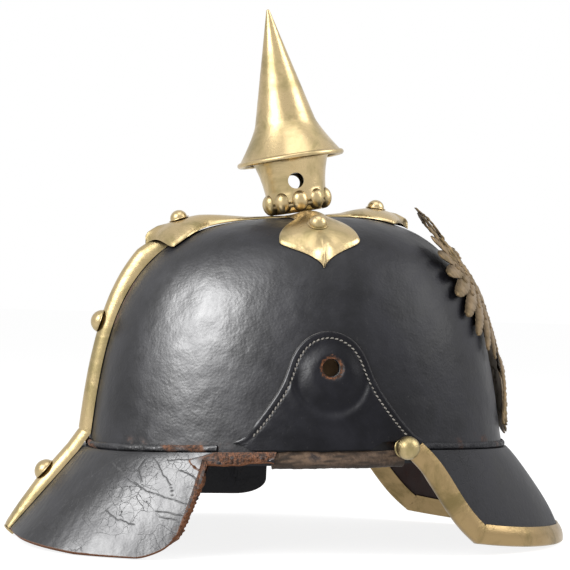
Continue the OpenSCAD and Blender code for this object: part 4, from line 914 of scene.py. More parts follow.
def patch_half(q):
    """Half length of the patch at a share of its height: an ogee from its feet to a waist at the knee, and
    a round top above, drawn smoothly where the two curves meet."""
    waist, knee = 0.47, 0.55
    spread = 0.11 * clamp((0.92 - q) / 0.25) * clamp(q / 0.3)
    half = 0
    for step in (-1, -0.5, 0, 0.5, 1):
        share = q + step * spread
        low, u = mix(1, waist, clamp(share / knee) ** 0.75), clamp((share - knee) / (1 - knee))
        high = waist * np.sqrt(np.maximum(0, 1 - 0.5 * u - 0.5 * u**2.6))
        half = half + np.where(share < knee, low, high) / 5
    return PATCH_FOOT * half


def patch_skirt(ahead, q):
    """How far the patch hangs below its feet, between them."""
    return PATCH_HANG * clamp((34 - ahead) / 6) * clamp((ahead + 38) / 6) * clamp(1 - q / 0.21)


def patch_outline(count):
    """The patch's arch from its rear foot over the top to its front foot, as distance ahead and height."""
    q = np.sin(np.pi / 2 * np.linspace(0, 1, count) ** 0.8)
    half, up = patch_half(q), mix(PATCH_LOW, PATCH_H, q)
    rear, front = np.stack([PATCH_AHEAD - half, up], -1), np.stack([PATCH_AHEAD + half, up], -1)
    return np.concatenate([rear, front[::-1][1:]])


def boss_rise(ahead, up):
    """Height of the boss over the patch: a low dome, and below it a trough and a rolled ring that fade out.
    The leather turns in at the rosette hole."""
    dome_r, trough_r, ring_r = 8.5, 17.4, 21.0
    r = np.hypot(ahead - SKULL_MID, up - ROSETTE_UP + BOSS_BELOW)
    low = smooth((ROSETTE_UP - BOSS_BELOW + 5 - up) / 13)
    dome = BOSS_H * (1 - smooth((r - dome_r) / 9)) - 0.6 * low * np.exp(-(((r - trough_r) / 2.4) ** 2))
    ring = 0.95 * low * np.exp(-(((r - ring_r) / 2.2) ** 2))
    hole = np.hypot(ahead - SKULL_MID, up - ROSETTE_UP)
    return dome + ring - 0.9 * (1 - smooth((hole - ROSETTE_R) / 2.6))


def patch_shape(side, stitch_in):
    """Sheet of the patch on the skull's side, with its boss, a shallow sewn groove and an edge that thins
    out. The third result is the distance of each point from the edge."""
    q = np.sin(np.pi / 2 * np.linspace(0, 1, 84) ** 0.8)[:, None] * 0.9995
    v = np.linspace(-1, 1, 130)[None]
    ahead = PATCH_AHEAD + v * patch_half(q)
    up = mix(PATCH_LOW, PATCH_H, q) - patch_skirt(ahead, q)
    edge = border_distance(np.stack([ahead + 0 * up, up], -1), patch_outline(300))
    groove = 0.32 * np.exp(-(((edge - stitch_in) / 0.55) ** 2))
    thin = 0.9 * (1 - clamp(edge / 0.9)) ** 2
    wave = 0.1 * waves(np.stack([ahead, up, 0 * up], -1), 12, 5)
    out = SEAT + PATCH_T + boss_rise(ahead, up) * clamp(edge / 4) - groove - thin + wave * clamp(edge / 3)
    return side_pt(ahead, up, out, side), side_pt(ahead, up, SEAT, side), edge


def stitches(side, look):
    """Slanted stitches along the arch: one round-ended capsule laid over and over, arched in its middle."""
    line = patch_outline(400)
    way = np.gradient(line, axis=0)
    inward = np.stack([way[:, 1], -way[:, 0]], -1) / np.linalg.norm(way, axis=1)[:, None]
    line = line + inward * look.stitch_in
    line = line[line[:, 1] > PATCH_LOW + 2]
    run = np.concatenate([[0], np.cumsum(np.linalg.norm(np.diff(line, axis=0), axis=1))])
    stops = np.arange(look.stitch_pitch, run[-1], look.stitch_pitch)
    mid = np.stack([np.interp(stops, run, line[:, i]) for i in (0, 1)], -1)
    ahead = np.stack([np.interp(stops + 0.3, run, line[:, i]) for i in (0, 1)], -1)
    dice = np.random.default_rng(11)
    turn = np.arctan2(*(ahead - mid).T[::-1]) + 0.32 + dice.normal(0, 0.06, len(stops))
    u, w = np.linspace(-1, 1, 9)[:, None], np.linspace(0, 2 * np.pi, 8, endpoint=False)[None]
    fat = 0.42 * np.sqrt(np.maximum(0.02, 1 - np.abs(u) ** 3))
    along, across, height = 0.95 * u + 0 * w, fat * np.cos(w), fat * np.sin(w) * 0.8 + 0.24 * (1 - u * u)
    c, s = np.cos(turn)[:, None, None], np.sin(turn)[:, None, None]
    f = mid[:, 0, None, None] + along * c - across * s
    g = mid[:, 1, None, None] + along * s + across * c
    points = side_pt(f, g, SEAT + PATCH_T - 0.12 + height, side)
    return gather([(p.reshape(-1, 3), outward(p.reshape(-1, 3), capped(9, 8))) for p in points])


def capped(rows, cols):
    """Faces of a tube closed at both ends by rows of quads, for an even number of columns."""
    i = np.arange(cols // 2 - 1)
    cap = np.stack([i, i + 1, cols - 2 - i, cols - 1 - i], -1)
    return np.concatenate([grid_quads(rows, cols, True), cap[:, [1, 0, 3, 2]], cap + (rows - 1) * cols])


# Peak, guard, welts and bindings
def peak_shape():
    """Leather of the peak from the seam to its edge, whose outer face is uneven between the two."""
    az = np.linspace(-PEAK_END_AZ, PEAK_END_AZ, 221)[:, None]
    t = np.linspace(0, 1, 46)[None]
    up = mix(seam_up(az), peak_bottom(az), t)
    sag = 0.12 * waves(peak_base(az, up), 30, 21) * clamp((1 - t) * 6) * clamp(t * 6)
    return peak_pt(az, up, PEAK_T - 0.12 + sag), peak_pt(az, up, 0 * up)


def lining_shape():
    """Lining under the peak, which stops short of the ball studs and ripples a little below."""
    az = np.linspace(-PEAK_END_AZ + 10.5, PEAK_END_AZ - 10.5, 121)[:, None]
    up = mix(-RIM_DROP - 2, peak_bottom(az), np.linspace(0, 1, 28)[None])
    ripple = 0.1 * waves(peak_base(az, up), 14, 22)
    return peak_pt(az, up, -LINING_GAP + 0 * up), peak_pt(az, up, -LINING_GAP - LINING_T + ripple)


def trim_shape():
    """Brass channel folded round the peak's edge. Stations run down the outer flange, round the edge and up
    the inner flange, which dies out beside the skull."""
    side_run = np.linspace(CORNER_AZ, PEAK_END_AZ, 40)
    az = np.concatenate([-side_run[::-1], np.linspace(-CORNER_AZ, CORNER_AZ, 121)[1:-1], side_run])[:, None]
    keep = 1 - smooth((np.abs(az) - TRIM_OPEN_AZ + 2) / 3)
    outside, inside = PEAK_T + 0.1, mix(0.1, -LINING_GAP - LINING_T - SEAT, keep)
    s = np.linspace(0, 1, 9)[None]
    turn = np.linspace(0, np.pi, 9)[None]

    def stations(less):
        """Distances into the leather and out of it along the section, for brass less a thickness."""
        wide = TRIM_T - less
        lobe = 0.75 * np.sin(np.pi * s) * (1 - less / TRIM_T)
        into = [TRIM_DEPTH * (1 - s) + 0 * az, -(SEAT + wide) * np.sin(turn) + 0 * az,
                TRIM_DEPTH * keep * s + 0.05 * s]
        middle, half = (outside + inside) / 2, (outside - inside) / 2
        out = [outside + wide + lobe + 0 * az, middle + (half + wide) * np.cos(turn), inside - wide + 0 * s]
        return np.concatenate(into, 1), np.concatenate(out, 1)

    into, out = stations(0.0)
    into_in, out_in = stations(TRIM_T)
    return strip_pt(az, into, out), strip_pt(az, into_in, out_in)


# Long cracks of the guard's right side, as lines of distance ahead and height
GUARD_CRACKS = (
    ((-95.7, -9.4), (-88.7, -15.8), (-81.1, -20.3), (-71.6, -23), (-62.5, -25.8)),
    ((-77.1, -4.5), (-74, -10), (-70.4, -17.3), (-69.8, -22.3)),
    ((-70.8, -5.6), (-62.4, -4.5), (-54.8, -4.2)),
    ((-65.6, -10.3), (-59.4, -12.3), (-55, -15.8)),
    ((-77.8, -29.4), (-70.6, -30.1), (-65.6, -30.8)),
    ((-76.4, -31.6), (-71, -33), (-67.2, -34.1)),
    ((-81, -6), (-84.2, -10.3), (-83, -16)),
    ((-101, -30), (-96, -34), (-88, -35.5)))


def crack_depth(points):
    """1 on the guard's long cracks and 0 off them, by a bell of the distance. Each line wavers a little."""
    line = []
    for crack in GUARD_CRACKS:
        crack = np.array(crack)
        u = np.linspace(0, len(crack) - 1, 90)
        drawn = np.stack([np.interp(u, np.arange(len(crack)), crack[:, i]) for i in (0, 1)], -1)
        wave = 0.35 * waves(np.stack([drawn[:, 0], drawn[:, 1], 0 * u], -1), 3.0, 36)
        line.append(drawn + wave[:, None])
    near = border_distance(np.stack([-points[..., 1], points[..., 2]], -1), np.concatenate(line))
    return np.exp(-((near / 0.26) ** 2)) * (points[..., 0] < 0)


def guard_shape():
    """Neck guard with its round left corner, its torn edge and the ragged strip beyond, all on one grid that
    is finest at the tear. The last results are the distance from the edge, the bare places and the cracks."""
    corner = GUARD_CORNER / ARC_MM
    az = np.concatenate([
        GUARD_LEFT_AZ + corner * (1 - np.cos(np.linspace(0, np.pi / 2, 12))),
        np.linspace(GUARD_LEFT_AZ + corner, 190, 80)[1:-1],
        np.linspace(190, GUARD_TEAR_AZ - corner, 220)[:-1],
        GUARD_TEAR_AZ - corner * (1 - np.sin(np.linspace(0, np.pi / 2, 20))),
        np.linspace(GUARD_TEAR_AZ + 0.9, GUARD_STUB_AZ, 60)])[:, None]
    down = np.linspace(0, 1, 112)[None]
    t = guard_depth(az) * down
    jag = 0.35 * np.sin(t * 61) * np.exp(-np.abs(az - GUARD_TEAR_AZ) / 1.5) + 0 * az
    turned = torn_az(az, t) + jag
    base = guard_base(turned, t)
    curl = 0.12 * waves(base, 26, 31) + 0.04 * waves(base, 7, 32)
    curl = curl * clamp(t * 8) - 0.22
    beyond = az > TEAR_END_AZ
    shaggy = 0.2 + 1.2 * np.sin(np.pi * down) + 0.35 * waves(base, 9, 33)
    shaggy = shaggy + 0.3 * waves(base, 2.3, 37) + 0.2 * waves(base, 1.2, 38)
    crack = crack_depth(base) * ~beyond
    outer = guard_pt(turned, t, GUARD_T + curl + np.where(beyond, shaggy, -0.12 * crack))
    inner = guard_pt(turned, t, 0 * t)
    tear = int(np.argmax(beyond[:, 0])) - 1
    border = np.concatenate([outer[:, -1], outer[0, 4:], outer[tear, 8:]])
    edge = border_distance(outer, border)
    flakes = clamp(3 * (waves(base, 7, 34) - 0.35)) * clamp(t * 8 - 0.1)
    lost = np.where(beyond, 1.0 - flakes, 0.0)
    near_tear = np.exp(-np.abs(turned - GUARD_TEAR_AZ)) * clamp(0.3 + waves(base, 3, 35))
    return outer, inner, edge, np.maximum(lost, near_tear), crack


def fringe_shape():
    """Raw suede along the tear: a lumpy cord of fibres from the seam down to the round corner."""
    u = np.linspace(0, 1, 150)[:, None]
    w = np.linspace(0, 2 * np.pi, 18, endpoint=False)[None]
    t = mix(0.10, 0.93, u)
    corner = round_off((1 - t) * GUARD_DEEP, GUARD_CORNER) / ARC_MM
    az = torn_az(np.full_like(t, GUARD_TEAR_AZ + 0.1), t) - corner
    shaggy = 1 + 0.3 * waves(np.stack(np.broadcast_arrays(u * 90, 3 * np.cos(w), 3 * np.sin(w)), -1), 5, 41)
    taper = np.sqrt(clamp(u / 0.06) * clamp((1 - u) / 0.1)) * 0.95 + 0.05
    across = 0.85 * np.cos(w) * shaggy * taper
    out = GUARD_T / 2 + 1.55 * np.sin(w) * shaggy * taper
    return guard_pt(az + across / ARC_MM, t + 0 * w, out)


def welt_shape(start, stop, seed, ripple):
    """Leather welt over the seam: a low rounded strip that wrinkles and lifts. The last result is its bare
    places."""
    az = np.linspace(start, stop, int(abs(stop - start) * 2.6))[:, None]
    h = np.linspace(0, 1, 13)[None]
    up = seam_up(az) + WELT_H * h
    place = wall_pt(az, up, 0)
    face = SEAT + WELT_T * (1 - np.abs(2 * h - 1) ** 3) * (0.82 + ripple * waves(place, 9, seed))
    face = face + 0.12 * waves(place, 2.6, seed + 1) * np.sin(np.pi * h)
    bare = clamp(waves(place, 13, seed + 2) * 2.4 - 1.0)
    return wall_pt(az, up, np.maximum(face, SEAT + 0.1)), wall_pt(az, up, SEAT + 0 * up), bare


def binding_shape(start, stop, seed):
    """Leather rolled round the skull's rim: its outside swells to a roll and creases slant round it.
    Stations go down the inside, from share 0.14 round under the rim, and from 0.44 up the outside. The last
    result is painted shade, darker towards the roll's foot and top, with dark streaks along it."""
    az = np.linspace(start, stop, int(abs(stop - start) * 5))[:, None]
    u = np.linspace(0, 1, 34)[None]
    base = wall_pt(az, 0, 0)
    under, inside_wall = RIM_DROP + SEAT, LEATHER_T + SEAT
    turn = np.pi * clamp((u - 0.14) / 0.3)
    mid, half = (SEAT - inside_wall) / 2, (SEAT + inside_wall) / 2
    out = mid - half * np.cos(turn)
    rise = clamp((u - 0.44) / 0.56)
    top = BINDING_H + 0.5 * waves(base, 30, seed + 4) + 0.25 * waves(base, 6, seed + 5)
    up = np.where(u < 0.14, 2.2 * (1 - u / 0.14), 0) - under - half * 0.45 * np.sin(turn) + rise * top
    place = wall_pt(az, up, out)
    crease = np.sin(np.radians(az) * 95 + 6 * u + 2.2 * waves(place, 16, seed))
    fine = waves(place, 2.2, seed + 2)
    roll = np.where(rise > 0, 1.35 * np.sin(np.pi * clamp(rise * 0.9 + 0.1)) ** 0.8, 0.15)
    fat = BINDING_T * (0.8 + 0.12 * crease + 0.35 * waves(place, 12, seed + 1) + 0.12 * fine) + roll
    fat = np.maximum(fat * np.sin(np.pi * clamp(u * 0.94 + 0.03)) ** 0.3, 0.05)
    away = np.stack([-np.cos(turn), -0.6 * np.sin(turn)], -1)
    along = np.stack([np.radians(az) * 26 + 0 * rise, 9 * rise + 0 * az, 0 * rise + 0 * az], -1)
    # Painted shade: darker towards the foot and the top of the roll, with dark streaks along it
    shade = 0.85 * clamp(1 - rise / 0.32) + 0.6 * clamp((rise - 0.74) / 0.26)
    shade = 0.9 * clamp(shade + clamp(1.1 * waves(along, 3, seed + 6)))
    outer = wall_pt(az, up + away[..., 1] * fat, out + away[..., 0] * fat)
    return outer, wall_pt(az, up, out), shade


# Brass of the crown
def spine_shape():
    """Half round section carried along the spine's line, with closer stations at the seam."""
    k = np.concatenate([np.linspace(0, 0.9, 60), np.linspace(0.9, 1.12, 26)[1:],
                        np.linspace(1.12, SPINE_TOP, 100)[1:]])[:, None]
    angle = np.linspace(0, 180, 25)[None]
    return spine_pt(k, angle, 0.0), spine_pt(k, angle, SPINE_T)


def hook_shape():
    """Plate that closes the spine's foot and turns under the guard's edge, with a rounded section."""
    p, d, n = spine_frame(np.array([0.0]))
    x = np.linspace(-1, 1, 15)[:, None] * (SPINE_W / 2 - 0.3)
    turn = np.linspace(0, 2 * np.pi, 20, endpoint=False)[None]
    high = SPINE_GAP + SPINE_END_H * np.sqrt(np.maximum(0.05, 1 - (x / (SPINE_W / 2)) ** 2))
    middle, half = (high - GUARD_T - 0.8) / 2, (high + GUARD_T + 0.8) / 2
    along = -0.85 + 0.6 * np.sign(np.cos(turn)) * np.abs(np.cos(turn)) ** 0.6 + 0 * x
    out = middle + half * np.sign(np.sin(turn)) * np.abs(np.sin(turn)) ** 0.6
    points = p[0] + d[0] * along[..., None] + n[0] * out[..., None]
    points[..., 0] = x
    verts = points.reshape(-1, 3)
    return verts, outward(verts, capped(15, 20))


def stud_profile(r, h, pull=1.0, brim=0.9):
    """Half section of a domed stud with a thin brim, open at its seat."""
    a = np.radians(np.linspace(0, 88, 16))
    dome_r, dome_h = (r - brim) * np.cos(a), 0.45 + (h - 0.45) * np.sin(a) ** pull
    lip = np.array([[r * 0.5, -0.15], [r - 0.1, -0.1], [r, 0.12], [r - 0.12, 0.36]])
    return np.concatenate([[[0.0, -0.15]], lip, np.stack([dome_r, dome_h], -1), [[0.0, h]]])


def arm_shape(k):
    """One arm of the cross from a mitre at the middle to the leaf's point. Its rim turns down, a crease
    runs from the stud to the point."""
    stud_at, end = ARM_STUD_AT[k], ARM_STUD_AT[k] + LEAF_AFTER
    d = np.concatenate([np.linspace(0.05, ARM_HALF_W, 10), np.linspace(ARM_HALF_W, end, 84)[1:]])[:, None]
    v = np.sin(np.linspace(-np.pi / 2, np.pi / 2, 41))[None]
    w = np.where(d < ARM_HALF_W, d, arm_width(d, stud_at))
    beyond = clamp((d - stud_at - 6.5) / 5)
    keel = 0.9 * beyond * np.exp(-((v * w / 2.2) ** 2))
    keel = keel - 0.5 * beyond * np.exp(-(((np.abs(v * w) - 5) / 3.5) ** 2))
    rim = 0.55 * (1 - clamp((1 - np.abs(v)) * w / 1.3)) ** 2 + 0.55 * (1 - clamp((end - d) / 1.3)) ** 2
    edge = clamp((d - ARM_HALF_W) / 4)
    layer = CROSS_T + keel * edge - rim * edge
    return arm_pt(k, d, v, layer), arm_pt(k, d, v, 0 * layer)


def neck_profile(less):
    """Section of the neck, less a thickness: its radius with a low roll outside at the foot and the top."""
    h = np.linspace(-NECK_H, 0.5, 46)
    roll = 0.5 * np.exp(-(((h + NECK_H - 1.2) / 1.1) ** 2)) + 0.35 * np.exp(-(((h + 0.6) / 0.7) ** 2))
    return np.stack([neck_r(h) + roll * (less == 0) - less, h], -1)


def pearl_parts():
    """Egg-shaped pearls round the neck and the band behind them. The second result grows with the distance
    out from the neck."""
    a = np.linspace(-np.pi / 2 + 0.04, np.pi / 2 - 0.04, 25)
    egg = np.stack([PEARL_R * np.cos(a), PEARL_H / 2 * np.where(a < 0, 1.1, 1) * np.sin(a)], -1)
    verts, _ = revolve(egg, 28, False)
    caps = outward(verts, capped(25, 28))
    parts = []
    for i in range(PEARLS):
        turn = np.radians(360 * (i + 0.5) / PEARLS + 86)
        c, s = np.cos(turn), np.sin(turn)
        spun = verts @ np.array([[c, s, 0], [-s, c, 0], [0, 0, 1]])
        parts.append((spun + [PEARL_RING_R * c, PEARL_RING_R * s, PEARL_AT], caps))
    t = np.linspace(0, 2 * np.pi, 16, endpoint=False)
    band = np.stack([WAIST_R - 0.9 + 1.3 * np.cos(t), PEARL_AT - 2.2 + 1.2 * np.sin(t)], -1)
    parts.append(revolve(band, 96))
    verts, faces = gather(parts)
    # Distance out from the neck, which the finish turns into painted shade near the neck and on the band
    proud = np.hypot(verts[:, 0], verts[:, 1]) - WAIST_R
    return (on_axis(verts), faces), clamp(0.25 + proud / 1.6)


def spike_shape():
    """Hollow cone with a flared foot and a rolled bead, turned round the leaning axis."""
    cone = np.linspace(FLARE_H, SPIKE_H - TIP_R, 40)[1:]
    h = np.concatenate([FLARE_H * np.linspace(0, 1, 26) ** 1.2, cone])
    outer = np.stack([spike_r(h), h], -1)
    a = np.radians(np.linspace(10, 88, 7))
    tip = np.stack([TIP_R * np.cos(a), SPIKE_H - TIP_R + TIP_R * np.sin(a)], -1)
    inner = np.stack([np.maximum(0.3, spike_r(h[:-3]) - SPIKE_T), h[:-3]], -1)[::-1]
    t = np.radians(np.linspace(-150, 120, 18))
    bead = np.stack([FLARE_R - BEAD_R / 2 + BEAD_R * np.cos(t), BEAD_R * np.sin(t)], -1)
    profile = np.concatenate([bead, outer[3:], tip, [[0.02, SPIKE_H]], [[0.02, SPIKE_H - 9]], inner[:-1]])
    verts, faces = revolve(profile, 160)
    return on_axis(verts), faces


# Eagle plate
def blades(rows):
    """Feathers and limbs as leaf-shaped lenses on the plate's surface. Each row holds the root and the tip
    as left and up, the width at root, belly and tip, the height of its back, its base height and its bow."""
    rows = np.array(rows, float)[:, :, None, None]
    root, tip = rows[:, 0:2], rows[:, 2:4]
    wide0, wide1, wide2, ridge, base, bow = (rows[:, i] for i in range(4, 10))
    s = np.linspace(0, 1, 27)[None, :, None]
    v = np.linspace(-1, 1, 9)[None, None]
    dl, du = tip[:, 0] - root[:, 0], tip[:, 1] - root[:, 1]
    length = np.sqrt(dl**2 + du**2)
    wide = np.where(s < 0.5, mix(wide0, wide1, smooth(s * 2)), mix(wide1, wide2, smooth(s * 2 - 1)))
    wide = wide * np.sqrt(clamp(1 - (np.maximum(0, s - 0.84) / 0.165) ** 2))
    bend = bow * np.sin(np.pi * s) * length
    left = root[:, 0] + dl * s - du / length * (v * wide + bend)
    up = root[:, 1] + du * s + dl / length * (v * wide + bend)
    shaft = 0.28 * np.exp(-((v / 0.16) ** 2)) * (1 - s * 0.7)
    barbs = 0.2 * np.sin(s * length * 1.9 + np.abs(v) * 4)
    barbs = barbs + 0.12 * np.sin(s * length * 0.9 + root[:, 0] + 3 * v)
    back = ridge * (1 - v * v) * (0.55 + 0.45 * np.sin(np.pi * clamp(s * 0.8 + 0.15)))
    high = base + 0.35 + back + shaft + barbs + 0.35 * v
    return left, up, high, base + 0 * high


def eagle_rows():
    """Layout of the eagle: wings, legs, breast, neck, head, crown and tail, each of leaf-shaped rows."""
    rows = []

    def leaf(root, tip, wide, ridge, base, bow=0.0, side=1):
        """Adds a row from its root to its tip, on the other half of the eagle for side -1."""
        rows.append([side * root[0], root[1], side * tip[0], tip[1], *wide, ridge, base, side * bow])

    tips = np.array([[38, 113], [45, 107], [50, 98], [53, 88], [55, 77], [54, 66], [50, 56], [43, 48],
                     [34, 43]])
    wrist, shoulder = np.array([31.0, 96.0]), np.array([9.0, 72.0])
    for side in (-1, 1):
        # Long feathers in a fan from the wing's arm, then two rows of short ones over them
        for i, tip in enumerate(tips):
            start = mix(wrist, shoulder, (i / 8) ** 1.2)
            leaf(start, (tip[0] - 0.8, tip[1]), (2.4, 4.1, 2.6), 0.9, 0.1 + 0.02 * i, 0.05, side)
        for i in range(8):
            start = mix(wrist, shoulder, ((i + 0.3) / 8) ** 1.1)
            end = mix(start, mix(tips[i], tips[i + 1], 0.5), 0.52)
            leaf(start, end, (2.2, 3.0, 2.0), 0.8, 0.9, 0.04, side)
        for i in range(7):
            start = mix(wrist, shoulder, (i + 0.6) / 7.6)
            end = mix(start, mix(tips[i], tips[i + 1], 0.5), 0.26)
            leaf(start, end, (2.0, 2.6, 1.7), 0.7, 1.5, 0.0, side)
        # Arm of the wing in three lengths
        for start, end, w in (((9, 73), (21, 86), 4.2), ((20, 84), (31, 97), 3.6),
                              ((30, 95), (35, 107), 2.6)):
            leaf(start, end, (w, w * 0.9, w * 0.6), 1.3, 1.6, 0.03, side)
        # Thigh, shank, three claws ahead and one behind
        leaf((7, 43), (20, 27), (5.5, 4.6, 2.2), 1.6, 1.0, 0.05, side)
        leaf((19, 30), (27, 15), (2.4, 1.6, 1.9), 1.2, 1.2, 0.0, side)
        for end in ((19.5, 8), (25.5, 6.8), (32.5, 8)):
            leaf((26.5, 17), end, (1.7, 1.5, 0.7), 1.1, 1.5, 0.12, side)
        leaf((25, 17), (20, 20), (1.5, 1.3, 0.6), 1.0, 1.7, 0.2, side)
        # Half of the crown's arch
        leaf((1, 108), (8.3, 116), (1.3, 1.5, 1.2), 0.8, 1.3, -0.12, side)
        leaf((8.2, 115), (0.3, 121.5), (1.2, 1.3, 1.0), 0.8, 1.3, -0.16, side)
    # Feathers of the breast, the body and the neck under them, and feathers of the neck
    for i in range(9):
        for x in (-8, -4, 0, 4, 8):
            leaf((x * (1 - 0.05 * i), 76 - 4.6 * i), (x * (1 - 0.06 * i), 69 - 4.6 * i), (1.9, 2.5, 1.5), 0.8,
                 1.9 - 0.03 * x * x / 4)
    leaf((0, 78), (0, 33), (8.5, 11.5, 4.5), 1.2, 0.5)
    leaf((0.5, 68), (1.5, 92), (8.0, 6.0, 4.6), 1.5, 0.9)
    for i in range(5):
        for x in (-3, 0, 3):
            leaf((x + 0.8, 92 - 4.2 * i), (x * 1.3 + 0.6, 86 - 4.4 * i), (1.6, 2.0, 1.0), 0.7,
                 2.5 - 0.1 * abs(x))
    # Head, both halves of the beak, and eye
    leaf((2.5, 90), (-5.0, 101.5), (4.6, 5.2, 3.4), 2.0, 1.6, 0.08)
    leaf((-3.5, 101), (-13.5, 96.5), (3.0, 2.2, 0.7), 1.6, 1.9, -0.12)
    leaf((-4.2, 98.6), (-10.5, 96.0), (1.6, 1.2, 0.5), 1.0, 1.8, 0.1)
    leaf((-3.4, 101.9), (-1.4, 102.1), (0.8, 0.9, 0.7), 0.8, 3.6)
    # Crown's band, middle and tip
    leaf((-7.5, 108), (7.5, 108), (1.7, 1.9, 1.7), 1.0, 1.3, 0.02)
    leaf((0, 101), (0, 122), (2.6, 2.0, 1.6), 1.0, 0.9)
    leaf((0, 121), (0, 124.5), (1.3, 1.5, 1.0), 0.9, 1.2)
    # Tail in two layers
    for v in range(-3, 4):
        leaf((v * 1.2, 36), (v * 7.3, 0.5 + 1.6 * abs(v)), (2.6, 4.4, 3.2), 0.9, 0.15 + 0.12 * (3 - abs(v)),
             0.05 * np.sign(v))
    for v in range(-2, 3):
        leaf((v * 1.5, 37), (v * 4.6, 17 + abs(v)), (2.4, 3.0, 1.8), 0.8, 1.3)
    return rows


def eagle_shape():
    """All rows of the eagle on the plate's surface. The last result is each point's height in its row."""
    left, up, high, low = blades(eagle_rows())
    outer, inner = plate_at(left, up, high), plate_at(left, up, low)
    parts = [shell(a, b) for a, b in zip(outer, inner)]
    # Height in each row, which the finish turns into painted shade in the low places; inner faces get a
    # middle value
    relief = [np.concatenate([(h - h.min()).ravel() / 2.0, np.full(h.size, 0.5)]) for h in high - 0.25 * low]
    verts, faces = gather(parts)
    return verts, faces, np.concatenate(relief)


# Liner
def band_shape():
    """Sweatband against the skull's inside, bulging over the nuts of the ball studs, with a rolled top."""
    az = np.linspace(0, 360, 240, endpoint=False)[None]
    up = np.linspace(BAND_LOW, BAND_TOP, 34)[:, None]
    signed = (az + 180) % 360 - 180
    near = np.hypot((np.abs(signed) - BALL_AZ) * ARC_MM, up - BALL_UP)
    bulge = 4.0 * smooth((11 - near) / 6)
    pucker = 0.25 * np.sin(np.radians(az) * 48) * clamp(1 - (BAND_TOP - up) / 8)
    pucker = pucker + 0.15 * waves(wall_pt(az, up, 0), 18, 51)
    hem = 0.5 * np.exp(-(((BAND_TOP - 2.5 - up) / 1.6) ** 2))
    inside = -LEATHER_T - SEAT - bulge
    return wall_pt(az, up, inside - 0.05), wall_pt(az, up, inside - BAND_T - hem - np.maximum(0, pucker))


def tongue_shape(k):
    """One tongue of the liner: a leather leaf with a rounded tip that leans inwards and cups a little."""
    u = np.linspace(0, 1, 40)[:, None]
    v = np.linspace(-1, 1, 25)[None]
    tip = np.sqrt(clamp(1 - (np.maximum(0, u - 0.86) / 0.141) ** 2))
    az = 360 * k / TONGUES + v * mix(0.46, 0.30, u) * tip * 360 / TONGUES
    out = -LEATHER_T - SEAT - BAND_T - 2 * SEAT - TONGUE_LEAN * u**0.75 - 0.7 * (1 - v * v) * u
    out = out - 0.3 * np.sin(u * 7 + k) * v
    t = mix(*TONGUE_ENDS, u) + 0 * v
    return dome_pt(az, t, out), dome_pt(az, t, out - TONGUE_T)


def disc_shape():
    """Leather disc inside the crown, round the air hole."""
    az = np.linspace(0, 360, 96, endpoint=False)[None]
    t = np.linspace(*DISC_ENDS, 12)[:, None]
    return dome_pt(az, t, -LEATHER_T - SEAT + 0 * t), dome_pt(az, t, -LEATHER_T - SEAT - DISC_T + 0 * t)


# Settings
def colour_setting(name, words, value):
    """A colour with its default."""
    return FloatVectorProperty(name=name, description=words, default=value, size=3, min=0, max=1,
                               subtype="COLOR")


def number_setting(name, words, value, least, most, **kind):
    """A number with its default, its limits and its unit or subtype."""
    return FloatProperty(name=name, description=words, default=value, min=least, max=most, **kind)


class HelmetLook(bpy.types.PropertyGroup):
    lacquer: colour_setting("Lacquer", "Colour of the black lacquer", (0.006, 0.006, 0.008))
    dust: colour_setting("Dust", "Colour of scuffs and specks on the lacquer", (0.16, 0.15, 0.14))
    raw: colour_setting("Raw hide", "Colour of bare leather at tears and edges", (0.17, 0.068, 0.03))
    # Pale grey of the side patches' edges: edge wear and a painted highlight along the cut edge
    rubbed: colour_setting("Rubbed edge and painted highlight", "Colour of the side patches' worn edges", (0.10, 0.095, 0.09))
    rim: colour_setting("Rim", "Colour of the worn leather round the rim", (0.20, 0.13, 0.085))
    lining: colour_setting("Lining", "Colour of the lining under the front peak", (0.035, 0.012, 0.009))
    pale: colour_setting("Liner", "Colour of the sweatband and the tongues", (0.34, 0.21, 0.11))
    brass: colour_setting("Brass", "Colour of the brass fittings", (0.50, 0.385, 0.21))
    dull_brass: colour_setting("Dull brass", "Colour of the trim and the inner fittings", (0.31, 0.22, 0.108))
    bronze: colour_setting("Eagle brass", "Colour of the eagle plate", (0.27, 0.19, 0.105))
    # Colour of the painted shade in the low places of the eagle, round the pearls' feet and on their band
    painted_shade: colour_setting("Painted shade", "Colour of the low places of eagle and pearls", (0.035, 0.025, 0.016))
    thread: colour_setting("Thread", "Colour of the stitches", (0.30, 0.28, 0.25))
    tarnish: number_setting("Tarnish", "Strength of the olive clouds", 0.75, 0, 1, subtype="FACTOR")
    scuffs: number_setting("Scuffs", "Amount of scuffs", 0.6, 0, 1, subtype="FACTOR")
    pebbles: number_setting("Grain", "Pebbles of the grain per metre", 850, 200, 3000)
    dents: number_setting("Dents", "Depth of the skull's dents as a share", 1.0, 0, 1.5, subtype="FACTOR")
    stitch_in: number_setting("Stitch line", "Distance of the stitches from the edge in mm", 3.3, 2, 5)
    stitch_pitch: number_setting("Stitch pitch", "Distance between stitches in mm", 2.4, 1.5, 4)


class StageLook(bpy.types.PropertyGroup):
    floor: colour_setting("Floor", "Colour of the floor", (0.8, 0.8, 0.8))
    left_lamp: number_setting("Left lamp", "Power of the lamp behind the helmet", 11, 0, 100, unit="POWER")
    right_lamp: number_setting("Right lamp", "Power of the lamp ahead of the helmet", 7, 0, 100, unit="POWER")
    top_lamp: number_setting("Top lamp", "Power of the lamp overhead", 3, 0, 100, unit="POWER")
    sheen: number_setting("Leather sheen", "Power of the panel that only shows on the black leather", 140, 0,
                          400, unit="POWER")
    fill: number_setting("Fill", "Strength of the light from all round", 0.35, 0, 2)


